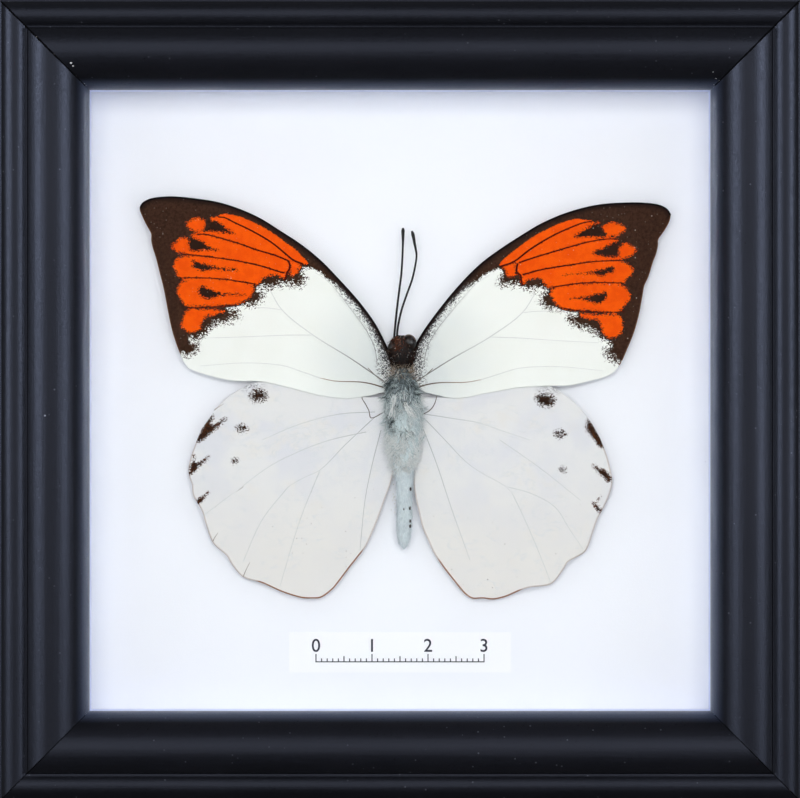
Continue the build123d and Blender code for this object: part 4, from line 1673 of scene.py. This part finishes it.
HIND_RIGHT_PATTERN = HindwingPattern(
    marks=[
        oval((545, 400), 19, 13, 10), oval((560, 434), 11, 7), oval((563, 470), 5, 4), oval((599, 498), 5, 1.6, -60),
        [(588, 420), (592, 423), (597, 432), (603, 442), (604, 448), (600, 447), (594, 440), (590, 435),
         (586, 428)],
        [(593, 465), (600, 468), (607, 472), (612, 479), (608, 482), (603, 477), (597, 471)],
        [(592, 501), (597, 505), (602, 511), (598, 512), (594, 506)],
    ],
    smudge=(551, 389),
    rim=[(441, 564), (450, 576), (465, 594), (483, 598), (505, 597), (517, 593)],
)
HIND_LEFT_VEINS = [
    Vein([(366, 432), (330, 440), (300, 451), (270, 466), (240, 488), (204, 515)], 0.06, 0.035),
    Vein([(376, 416), (345, 445), (320, 470), (305, 477), (289, 486)], 0.06, 0.035),
    Vein([(375, 412), (340, 414), (300, 424), (262, 440)], 0.06, 0.035),
    Vein([(289, 486), (262, 520), (243, 562)], 0.06, 0.035),
    Vein([(320, 470), (300, 520), (280, 586)], 0.06, 0.035),
    Vein([(381, 430), (372, 465), (365, 500), (360, 550)], 0.06, 0.035),
]
HIND_LEFT_DARK_VEINS = [
    Vein([(218, 533), (215, 537), (213, 541)], 0.03, 0.08),
    Vein([(250, 562), (246, 570), (243, 577)], 0.03, 0.08),
    Vein([(214.3, 410.2), (218, 407.2), (223.5, 404)], 0.09, 0.03),
    Vein([(232.5, 494), (238, 490.7), (243.3, 486.7)], 0.02, 0.06),
    Vein([(384, 393), (362, 396.5), (366, 405), (369, 411), (371, 418), (384, 412)], 0.07, 0.09),
]
HIND_RIGHT_VEINS = [
    Vein([(424, 418), (445, 440), (465, 461), (480, 472), (505, 486), (512, 493)], 0.06, 0.035),
    Vein([(512, 493), (525, 520), (540, 555), (551, 583)], 0.06, 0.035),
    Vein([(508, 487), (530, 493), (555, 507), (570, 530), (583, 549)], 0.06, 0.035),
    Vein([(424, 414), (450, 418), (480, 423), (500, 430), (530, 440)], 0.06, 0.035),
    Vein([(500, 440), (540, 468), (580, 500)], 0.06, 0.035),
    Vein([(422, 426), (436, 462), (452, 510), (470, 560)], 0.06, 0.035),
]
HIND_RIGHT_DARK_VEINS = [
    Vein([(418, 389), (425, 391), (432, 394)], 0.12, 0.08),
    Vein([(437, 396), (434, 405), (429, 411), (421, 415)], 0.07, 0.09),
]


@dataclass
class Wings:
    """The four wings and their shared finishes."""

    fore_depth: float = 2.15 * MM
    hind_depth: float = 2.45 * MM

    def build(self) -> None:
        """Build each wing."""
        fore_scales = ForewingScales().make()
        hind_scales = HindwingScales().make()
        skins = {
            "dark": VeinSkin("vein_dark", srgb(70, 10, 4), srgb(88, 16, 6), srgb(60, 12, 8)).make(),
            "pale": VeinSkin("vein_pale", srgb(204, 206, 206), srgb(218, 220, 219), srgb(122, 122, 120)).make(),
            "faint": VeinSkin("vein_faint", srgb(192, 197, 196), srgb(210, 213, 212), srgb(168, 172, 172)).make(),
            "brown": VeinSkin("vein_brown", srgb(168, 148, 132), srgb(190, 172, 158), srgb(104, 88, 78)).make(),
            "leg": VeinSkin("leg_skin", srgb(134, 124, 116), srgb(170, 160, 150), srgb(104, 96, 90)).make(),
        }
        forewings = (
            (Side.LEFT, FORE_LEFT_SIDES, FORE_LEFT_PATTERN, FORE_LEFT_DARK_VEINS, FORE_LEFT_PALE_VEINS, FORE_LEFT_BROWN_VEINS),
            (
                Side.RIGHT, FORE_RIGHT_SIDES, FORE_RIGHT_PATTERN, FORE_RIGHT_DARK_VEINS,
                [Vein(moved_across(vein.route), vein.thick, vein.thin) for vein in FORE_LEFT_PALE_VEINS],
                [Vein(moved_across(vein.route), vein.thick, vein.thin) for vein in FORE_LEFT_BROWN_VEINS],
            ),
        )
        for side, sides, pattern, dark, pale, brown in forewings:
            veins = {"dark": dark, "pale": pale, "brown": brown}
            Forewing(side, "forewing", sides, self.fore_depth, 230, 135, veins, pattern=pattern).build(fore_scales, skins)
        hindwings = (
            (Side.LEFT, HIND_LEFT_SIDES, HIND_LEFT_PATTERN, HIND_LEFT_VEINS, HIND_LEFT_DARK_VEINS),
            (Side.RIGHT, HIND_RIGHT_SIDES, HIND_RIGHT_PATTERN, HIND_RIGHT_VEINS, HIND_RIGHT_DARK_VEINS),
        )
        for side, sides, pattern, pale, brown in hindwings:
            veins = {"faint": pale, "leg": brown}
            Hindwing(side, "hindwing", sides, self.hind_depth, 160, 200, veins, pattern=pattern).build(hind_scales, skins)


# ---------------------------------------------------------------------------
# The body
# ---------------------------------------------------------------------------


@dataclass(frozen=True)
class Strand:
    """One hair: where it grows, which way, how long and wide, and how pale."""

    root: Vector
    way: Vector
    length: float
    width: float
    shade: float


def grow(name: str, strands: Sequence[Strand], material: bpy.types.Material, seed: int) -> bpy.types.Object:
    """Make tufts of tapering, bent hairs as one mesh.

    Args:
        name: the piece's name.
        strands: the hairs.
        material: their finish.
        seed: what the turn of each is drawn from.

    Returns:
        The piece, with a shade attribute.
    """
    draw = random.Random(seed)
    bm = bmesh.new()
    bmesh.ops.create_cone(bm, cap_ends=True, segments=3, radius1=1.0, radius2=0.12, depth=1.0)
    bmesh.ops.translate(bm, verts=bm.verts[:], vec=(0, 0, 0.5))
    bmesh.ops.subdivide_edges(
        bm, edges=[e for e in bm.edges if abs(e.verts[0].co.z - e.verts[1].co.z) > 0.5], cuts=3
    )
    count = len(bm.verts)
    template = bpy.data.meshes.new(name + "_strand")
    bm.to_mesh(template)
    bm.free()
    base = np.zeros(count * 3)
    template.vertices.foreach_get("co", base)
    base = base.reshape(-1, 3)
    grown = bmesh.new()
    for strand in strands:
        shape = base * (strand.width / 2, strand.width / 2, strand.length)
        shape[:, 0] += 0.22 * strand.length * base[:, 2] ** 2
        template.vertices.foreach_set("co", shape.ravel())
        turn = strand.way.to_track_quat("Z", "X").to_matrix().to_4x4()
        twist = Matrix.Rotation(draw.uniform(0, 2 * math.pi), 4, "Z")
        template.transform(Matrix.Translation(strand.root) @ turn @ twist)
        grown.from_mesh(template)
    bpy.data.meshes.remove(template)
    piece = piece_from(grown, name, material)
    shade = np.repeat([strand.shade for strand in strands], count)
    piece.data.attributes.new("shade", "FLOAT", "POINT").data.foreach_set("value", shade.astype(np.float32))
    return piece


@dataclass
class Lump:
    """A round-sectioned part of the body, spun about an upright axis from widths at heights in the photograph."""

    name: str
    axis: Pixel
    outline: Sequence[Pixel]
    depth: float
    flatness: float = 0.85
    bumps: float = 0.12
    seed: int = 1

    def build(self, material: bpy.types.Material) -> bpy.types.Object:
        """Spin the outline and roughen it.

        Args:
            material: its finish.

        Returns:
            The piece.
        """
        profile = smoothed([(width, row) for row, width in self.outline], steps=5)
        bm = bmesh.new()
        scale = CAMERA.scale(self.depth)
        verts = []
        for width, row in profile:
            place = CAMERA.at((400.0, row), self.depth)
            verts.append(bm.verts.new((max(width, 0.02) / 2 * scale, 0.0, place.z)))
        edges = [bm.edges.new(pair) for pair in zip(verts[:-1], verts[1:])]
        bmesh.ops.spin(
            bm, geom=verts + edges, cent=(0, 0, 0), axis=(0, 0, 1), angle=2 * math.pi, steps=40, use_merge=True
        )
        bmesh.ops.remove_doubles(bm, verts=bm.verts[:], dist=0.02 * MM)
        bmesh.ops.recalc_face_normals(bm, faces=bm.faces[:])
        for vert in bm.verts:
            vert.co.y *= self.flatness
        draw = random.Random(self.seed)
        ripples = [(draw.uniform(900, 2600), draw.uniform(0, 6.28), draw.uniform(0, 6.28)) for _ in range(6)]
        bm.normal_update()
        top, low = self.outline[0][0], self.outline[-1][0]
        for vert in bm.verts:
            swell = sum(math.sin(f * vert.co.x + a) * math.sin(f * vert.co.z + b) for f, a, b in ripples)
            vert.co += vert.normal * swell * self.bumps * MM / 3
        lean = [CAMERA.at((x, 0), self.depth).x for x in self.axis]
        high_z, low_z = CAMERA.at((0, top), self.depth).z, CAMERA.at((0, low), self.depth).z
        for vert in bm.verts:
            share = (vert.co.z - high_z) / (low_z - high_z)
            vert.co.x += lean[0] + (lean[1] - lean[0]) * share
            vert.co.y += self.depth
        return piece_from(bm, self.name, material)

    def surface(self, row: float, angle: float) -> tuple[Vector, Vector]:
        """A place on the skin.

        Args:
            row: its height in the photograph.
            angle: its turn about the axis from the viewer's side, in degrees.

        Returns:
            The place and the way out from it.
        """
        rows, widths = zip(*self.outline)
        width = float(np.interp(row, rows, widths)) * CAMERA.scale(self.depth)
        share = (row - rows[0]) / (rows[-1] - rows[0])
        middle = CAMERA.at((self.axis[0] + (self.axis[1] - self.axis[0]) * share, row), self.depth)
        turn = math.radians(angle)
        way = Vector((math.sin(turn), -math.cos(turn) * self.flatness, 0.0))
        return middle + way * (width / 2), way.normalized()


@dataclass
class Specimen:
    """The insect's head, thorax, abdomen, eyes and feelers, with their hair."""

    depth: float = 1.1 * MM
    thorax: Lump = field(init=False)
    head: Lump = field(init=False)
    abdomen: Lump = field(init=False)

    def __post_init__(self) -> None:
        """Lay out the three parts of the body."""
        self.thorax = Lump(
            "thorax_skin", (402, 404),
            [(368, 9), (375, 18), (383, 28), (395, 34), (410, 36), (425, 35), (440, 32), (455, 27), (467, 20), (476, 8)],
            self.depth, seed=3,
        )
        self.head = Lump(
            "head_skin", (401, 403),
            [(335, 6), (338, 15), (345, 22), (355, 22), (363, 16), (370, 6)],
            self.depth, seed=5,
        )
        self.abdomen = Lump(
            "abdomen_skin", (405, 404),
            [(440, 8), (450, 20), (462, 20), (480, 17), (505, 15), (525, 15), (538, 12.5), (545, 8), (549.5, 1)],
            self.depth, bumps=0.05, seed=7,
        )

    def coat(
        self,
        lump: Lump,
        count: int,
        rows: tuple[float, float],
        length: tuple[float, float],
        lift: float,
        shade: Callable[[float, float, random.Random], float],
        seed: int,
        width: float = 0.09,
    ) -> list[Strand]:
        """Grow hairs that lie back over the front of a part.

        Args:
            lump: the part.
            count: how many hairs.
            rows: the first and last row that they grow from.
            length: the shortest and longest, in millimetres.
            lift: how far they stand away from the skin, from 0 to 1.
            shade: a hair's shade from its column and row.
            seed: what their places are drawn from.
            width: a hair's width at its root, in millimetres.

        Returns:
            The hairs.
        """
        draw = random.Random(seed)
        strands = []
        for _ in range(count):
            row, angle = draw.uniform(*rows), draw.uniform(-105, 105)
            place, out = lump.surface(row, angle)
            spread = Vector((draw.gauss(0, 0.2), draw.gauss(0, 0.1), draw.gauss(0, 0.2)))
            way = Vector((0, 0, -1)) * (1 - lift) + out * lift + spread
            column = place.x / CAMERA.scale(self.depth) + 400
            strands.append(
                Strand(
                    place + out * 0.05 * MM, way.normalized(), draw.uniform(*length) * MM,
                    width * draw.uniform(0.6, 1.2) * MM, shade(column, row, draw),
                )
            )
        return strands

    def tufts(self, count: int, seed: int) -> list[Strand]:
        """Grow the thorax's hair in tufts, whose tips come together.

        Args:
            count: how many tufts.
            seed: what their places are drawn from.

        Returns:
            The hairs.
        """
        draw = random.Random(seed)
        strands = []
        for _ in range(count):
            row, angle = draw.uniform(373, 474), draw.uniform(-95, 95)
            heart, out = self.thorax.surface(row, angle)
            lean = Vector((draw.gauss(0, 0.8), 0.0, -0.6 + draw.gauss(0, 0.7)))
            tip = heart + (lean + out * draw.uniform(0.3, 0.7)).normalized() * draw.uniform(0.8, 1.8) * MM
            tone = self.thorax_shade(heart.x / CAMERA.scale(self.depth) + 400, row + 3, draw)
            for _ in range(draw.randint(9, 17)):
                place, away = self.thorax.surface(row + draw.gauss(0, 2.8), angle + draw.gauss(0, 11))
                end = tip + Vector((draw.gauss(0, 0.13), draw.gauss(0, 0.08), draw.gauss(0, 0.13))) * MM
                way = end - place
                shade = min(1.0, max(0.0, tone + draw.gauss(0, 0.22)))
                strands.append(
                    Strand(place + away * 0.12 * MM, way.normalized(), way.length, draw.uniform(0.08, 0.15) * MM, shade)
                )
        return strands

    def wisps(self, count: int, seed: int) -> list[Strand]:
        """Grow long white hairs: two streaks that part down the thorax, and a fringe along both its sides.

        Args:
            count: how many in each streak.
            seed: what their places are drawn from.

        Returns:
            The hairs.
        """
        draw = random.Random(seed)
        strands = []
        for start, end in (((397, 393), (393.5, 421)), ((404, 401), (411.5, 419))):
            for _ in range(count):
                share = draw.uniform(0.0, 0.65)
                column = start[0] + (end[0] - start[0]) * share + draw.gauss(0, 1.2)
                row = start[1] + (end[1] - start[1]) * share
                place, out = self.thorax.surface(row, (column - 403) * 3.4)
                way = Vector((end[0] - start[0] + draw.gauss(0, 3), 0.0, start[1] - end[1])).normalized()
                way = (way + out * 0.12).normalized()
                strands.append(
                    Strand(place + out * 0.75 * MM, way, draw.uniform(1.1, 2.2) * MM, draw.uniform(0.08, 0.14) * MM, 1.0)
                )
        for _ in range(count * 5):
            side = draw.choice((-1, 1))
            place, out = self.thorax.surface(draw.uniform(378, 452), side * draw.uniform(78, 112))
            way = Vector((side * draw.uniform(0.4, 1.2), draw.uniform(-0.3, 0.1), draw.gauss(-0.3, 0.7))).normalized()
            size = draw.uniform(0.8, 1.9) * MM
            strands.append(Strand(place, way, size, draw.uniform(0.07, 0.12) * MM, draw.uniform(0.8, 1.0)))
        return strands

    def thorax_shade(self, column: float, row: float, draw: random.Random) -> float:
        """Dark hair near the neck and in a few tufts, paler down the middle and palest below."""
        dark_tufts = [(403.5, 401), (395.7, 406), (391.4, 422), (403.5, 433), (411.4, 431)]
        if any(math.hypot(column - x, (row - y) * 0.8) < 3.0 for x, y in dark_tufts):
            return draw.uniform(0.0, 0.15)
        tone = 0.2 + 0.47 * min(1.0, max(0.0, (row - 391) / 10)) + 0.36 * min(1.0, max(0.0, (row - 425) / 14))
        tone += 0.15 * math.exp(-(((column - 405.5) / 5) ** 2) - ((row - 418) / 11) ** 2)
        return min(1.0, max(0.0, tone + draw.gauss(0, 0.2)))

    def head_shade(self, column: float, row: float, draw: random.Random) -> float:
        """Near-black hair with a rusty patch between the eyes, and a stray pale hair here and there."""
        rusty = math.exp(-(((column - 400) / 4.5) ** 2) - ((row - 342) / 7.5) ** 2)
        stray = 0.9 if draw.random() < 0.02 else 0.0
        return min(1.0, max(0.0, 0.06 + stray + 0.72 * rusty * draw.uniform(0.4, 1.0) + draw.gauss(0, 0.05)))

    def abdomen_shade(self, column: float, row: float, draw: random.Random) -> float:
        """Pale down, with painted shade that darkens it along both sides."""
        # Painted shade: hair towards either side of the round abdomen gets a darker value.
        side = abs(column - 404.5) / 8
        return min(1.0, max(0.0, 0.95 - 0.35 * side**3 + draw.gauss(0, 0.1)))

    def build_hair(self) -> None:
        """Grow the hair of each part."""
        pale = InsectHair("body_hair", srgb(34, 44, 47), srgb(200, 214, 216), srgb(252, 254, 253)).make()
        dark = InsectHair("head_hair", srgb(9, 7, 6), srgb(136, 68, 26), srgb(214, 196, 172), 0.1).make()
        tan = InsectHair("neck_hair", srgb(112, 92, 78), srgb(186, 166, 144), srgb(226, 214, 198)).make()
        down = InsectHair("abdomen_down", srgb(150, 158, 166), srgb(204, 212, 217), srgb(232, 238, 241)).make()
        coats = (
            ("thorax_hair", pale, "body_hair",
             self.coat(self.thorax, 1100, (374, 474), (0.7, 1.6), 0.3, self.thorax_shade, 11, 0.12)
             + self.tufts(120, 16) + self.wisps(34, 15)),
            ("head_hair", dark, "head_hair",
             self.coat(self.head, 950, (336, 368), (0.4, 0.95), 0.62, self.head_shade, 12, 0.11)),
            ("abdomen_hair", down, "abdomen_scale",
             self.coat(self.abdomen, 800, (446, 546), (0.5, 1.0), 0.14, self.abdomen_shade, 13, 0.08)),
        )
        for name, material, slot, strands in coats:
            dress(grow(name, strands, material, 21), CASE_BODY, slot)
        draw = random.Random(14)
        fringe = []
        for _ in range(240):
            row, angle = draw.uniform(366, 380), draw.uniform(-95, 95)
            place, out = self.thorax.surface(max(row, 374), angle)
            place.z = CAMERA.at((0, row), self.depth).z
            way = out * 0.6 + Vector((0, -0.3, draw.uniform(-0.3, 0.9)))
            fringe.append(Strand(place, way.normalized(), draw.uniform(0.7, 1.5) * MM, 0.08 * MM, draw.random()))
        dress(grow("neck_hair", fringe, tan, 22), CASE_BODY, "body_hair")

    def build_eyes(self) -> None:
        """Make the two glossy eyes."""
        lens = EyeLens().make()
        for side, pixel, size in ((Side.LEFT, (393.5, 347.5), 1.1), (Side.RIGHT, (408.8, 342.5), 1.45)):
            bm = bmesh.new()
            bmesh.ops.create_icosphere(bm, subdivisions=4, radius=size * MM)
            bmesh.ops.scale(bm, verts=bm.verts[:], vec=(0.92, 0.85, 1.0))
            bmesh.ops.translate(bm, verts=bm.verts[:], vec=CAMERA.at(pixel, self.depth - 0.35 * MM))
            piece = piece_from(bm, f"eye_{side.hand}_lens", lens)
            dress(piece, CASE_BODY, "eye_gloss", f"eye_{side.hand}")

    def build_eye_rim(self) -> None:
        """Make the thin pale arc round the top of the right eye, a painted highlight that stands for the eye's
        reflection.
        """
        route = smoothed([(403, 339), (405, 336.2), (408.8, 334.8), (412.6, 336.3), (415, 340)])
        places = CAMERA.spread(route, np.full(len(route), self.depth - 1.35 * MM))
        # The arc's pale colour is a painted highlight, not a rim that the eye has.
        skin = BodySkin("eye_rim", srgb(128, 104, 92), srgb(92, 70, 60), srgb(50, 38, 34)).make()
        radii = np.full(len(route), 0.055 * MM)
        dress(cords("eye_rim", [(places, radii)], skin), CASE_BODY, "head_hair")

    def build_crumbs(self) -> None:
        """Make the crumbs of white dust on the head and beside the abdomen."""
        draw = random.Random(33)
        bm = bmesh.new()
        spots = []
        for _ in range(16):
            place, out = self.head.surface(draw.uniform(341, 366), draw.uniform(-70, 75))
            spots.append((place + out * 0.75 * MM, 0.05))
        for _ in range(26):
            row = draw.choice((478, 490, 500, 511)) + draw.gauss(0, 3)
            spots.append((CAMERA.at((draw.gauss(394.5, 1.6), row), 2.2 * MM), 0.11))
        for place, size in spots:
            crumb = bmesh.ops.create_icosphere(bm, subdivisions=1, radius=size * draw.uniform(0.6, 1.3) * MM)["verts"]
            bmesh.ops.translate(bm, verts=crumb, vec=place)
        dust = DriedGlue("white_dust", srgb(238, 238, 234)).make()
        dress(piece_from(bm, "white_dust", dust), CASE_BODY, "abdomen_scale")

    def build_feelers(self) -> None:
        """Make the two clubbed feelers."""
        routes = {
            Side.LEFT: [
                (394, 341), (394.6, 333), (395.8, 320), (397.5, 304), (399.3, 290), (401.5, 272), (402.5, 255),
                (403, 241), (403, 235), (403, 228),
            ],
            Side.RIGHT: [
                (396.8, 341), (397.5, 329.3), (399.3, 319.5), (401.7, 309.6), (405.2, 299), (408.4, 290), (412, 280),
                (415, 267),
                (416.5, 255), (414.5, 243), (413.7, 238), (412, 231),
            ],
        }
        skin = BodySkin("feeler_black", srgb(10, 7, 7), srgb(17, 12, 11), srgb(50, 42, 37), flecks=0.2).make()
        for side, route in routes.items():
            pixels = smoothed(route, steps=8)
            share = np.linspace(0, 1, len(pixels))
            depths = (0.6 + 0.9 * share) * MM
            radii = np.interp(share, [0, 0.72, 0.85, 0.96, 1.0], [0.2, 0.18, 0.26, 0.32, 0.18]) * MM
            piece = cords(f"feeler_{side.hand}", [(CAMERA.spread(pixels, depths), radii)], skin, turns=3)
            dress(piece, CASE_BODY, "antenna_black", f"antenna_{side.hand}")

    def build_spots(self) -> None:
        """Make the row of dark dots down the abdomen."""
        bm = bmesh.new()
        for column, row, size in ((410, 489, 0.24), (410, 508, 0.24), (410.3, 521, 0.22), (410.5, 526, 0.24), (404, 509, 0.14)):
            off = math.degrees(math.asin(min((column - 404.5) / 8.2, 0.9)))
            place, out = self.abdomen.surface(row, off)
            dot = bmesh.ops.create_icosphere(bm, subdivisions=2, radius=size * MM)["verts"]
            bmesh.ops.scale(bm, verts=dot, vec=(0.8, 0.5, 1.5))
            bmesh.ops.translate(bm, verts=dot, vec=place + out * 0.12 * MM)
        skin = BodySkin("abdomen_dot", srgb(30, 24, 24), srgb(50, 42, 40), srgb(110, 104, 100)).make()
        dress(piece_from(bm, "abdomen_dots", skin), CASE_BODY, "abdomen_scale")

    def build(self) -> None:
        """Build the whole body."""
        chest = BodySkin(
            "thorax_skin", srgb(112, 124, 128), srgb(72, 82, 86), srgb(60, 62, 64), lower=srgb(204, 217, 220)
        ).make()
        belly = BodySkin(
            "abdomen_skin", srgb(208, 219, 222), srgb(186, 197, 202), srgb(120, 120, 126), rings=110.0, flecks=0.2
        ).make()
        face = BodySkin("head_skin", srgb(20, 15, 13), srgb(11, 8, 7), srgb(60, 36, 22)).make()
        dress(self.thorax.build(chest), CASE_BODY, "body_hair", "thorax")
        dress(self.abdomen.build(belly), CASE_BODY, "abdomen_scale", "abdomen")
        dress(self.head.build(face), CASE_BODY, "head_hair", "head")
        self.build_hair()
        self.build_eyes()
        self.build_eye_rim()
        self.build_crumbs()
        self.build_feelers()
        self.build_spots()


# ---------------------------------------------------------------------------
# The studio
# ---------------------------------------------------------------------------


@dataclass(frozen=True)
class Softbox:
    """A square lamp that faces the case."""

    name: str
    azimuth: float
    elevation: float
    distance: float
    width: float
    height: float
    radiance: float
    colour: Colour = (1.0, 1.0, 1.0)
    lights: bool = True
    mirrored: bool = True

    def place(self, target: Vector) -> None:
        """Put the lamp in the scene, facing target."""
        data = bpy.data.lights.new(self.name, "AREA")
        data.shape = "RECTANGLE"
        data.size, data.size_y = self.width, self.height
        data.color = self.colour
        data.energy = 4 * self.radiance * self.width * self.height
        turn, rise = math.radians(self.azimuth), math.radians(self.elevation)
        back = Vector((math.sin(turn) * math.cos(rise), -math.cos(turn) * math.cos(rise), math.sin(rise)))
        lamp = bpy.data.objects.new(self.name, data)
        lamp.location = target + back * self.distance
        lamp.rotation_euler = back.to_track_quat("Z", "Y").to_euler()
        lamp.visible_diffuse = self.lights
        lamp.visible_glossy = self.mirrored
        bpy.context.scene.collection.objects.link(lamp)


@dataclass
class Studio:
    """Soft, cool light from both sides, a pale floor and a pale backdrop."""

    backdrop: Colour = (0.50, 0.51, 0.53)
    fill: Colour = (0.31, 0.305, 0.30)
    floor_size: float = 6.0
    lamps: tuple[Softbox, ...] = (
        Softbox("strip_left", -42, 0, 0.9, 0.4, 0.9, 14.5, (0.87, 0.92, 1.0), lights=False),
        Softbox("strip_right", 42, 0, 0.9, 0.4, 0.9, 14.0, (0.87, 0.92, 1.0), lights=False),
        Softbox("wash_left", -50, 5, 1.0, 0.6, 0.6, 0.6, (0.87, 0.92, 1.0)),
        Softbox("wash_right", 50, 5, 1.0, 0.6, 0.6, 0.6, (0.87, 0.92, 1.0)),
        Softbox("softbox_front", 0, 3, 1.5, 1.0, 1.0, 4.95, (1.0, 0.988, 0.97), mirrored=False),
        Softbox("glow_front", 0, 10, 1.5, 1.25, 1.25, 2.35, (0.99, 0.995, 1.0), lights=False),
        Softbox("softbox_back_left", -140, 25, 1.2, 0.7, 0.7, 1.6),
        Softbox("softbox_back_right", 140, 25, 1.2, 0.7, 0.7, 1.6),
    )

    def build_world(self) -> None:
        """Light the world softly and show it as a pale backdrop."""
        world = bpy.data.worlds.new("studio_world")
        bpy.context.scene.world = world
        world.use_nodes = True
        tree = world.node_tree
        tree.nodes.clear()
        path = tree.nodes.new("ShaderNodeLightPath")
        seen: Socket = path.outputs["Is Camera Ray"]
        for ray in ("Is Glossy Ray", "Is Transmission Ray"):
            either = tree.nodes.new("ShaderNodeMath")
            either.operation = "MAXIMUM"
            tree.links.new(seen, either.inputs[0])
            tree.links.new(path.outputs[ray], either.inputs[1])
            seen = either.outputs[0]
        colour = tree.nodes.new("ShaderNodeMix")
        colour.data_type = "RGBA"
        tree.links.new(seen, colour.inputs[0])
        colour.inputs[6].default_value = (*self.fill, 1.0)
        colour.inputs[7].default_value = (*self.backdrop, 1.0)
        sky = tree.nodes.new("ShaderNodeBackground")
        tree.links.new(colour.outputs[2], sky.inputs["Color"])
        out = tree.nodes.new("ShaderNodeOutputWorld")
        tree.links.new(sky.outputs["Background"], out.inputs["Surface"])

    def build_floor(self) -> None:
        """Lay the pale floor that the case stands on."""
        shader = Shader("studio_floor")
        tone = shader.ramp(shader.noise(4.0), 0.3, 0.7, 0.0, 0.5)
        colour = shader.blend(tone, srgb(214, 215, 217), srgb(208, 209, 212))
        material = shader.finish(Base_Color=colour, Roughness=0.9)
        bm = bmesh.new()
        bmesh.ops.create_grid(bm, x_segments=2, y_segments=2, size=self.floor_size / 2)
        piece_from(bm, "studio_floor", material, smooth=False)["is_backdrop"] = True

    def build(self, target: Vector) -> None:
        """Set the lights, floor, world and view."""
        for lamp in self.lamps:
            lamp.place(target)
        self.build_world()
        self.build_floor()
        bpy.context.scene.view_settings.view_transform = "Standard"


def main() -> None:
    """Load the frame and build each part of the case."""
    logging.basicConfig(level=logging.INFO, format="%(name)s: %(message)s")
    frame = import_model()
    LOG.info("the frame has %d nodes", len(frame["nodes"]))
    low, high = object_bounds()
    for part in (Moulding(), Layers(), BackFittings(), Wings(), Specimen()):
        LOG.info("building %s", type(part).__name__)
        part.build()
    Studio().build((low + high) / 2)
    CAMERA.place()
    low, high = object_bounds()


if __name__ == "__main__":
    main()
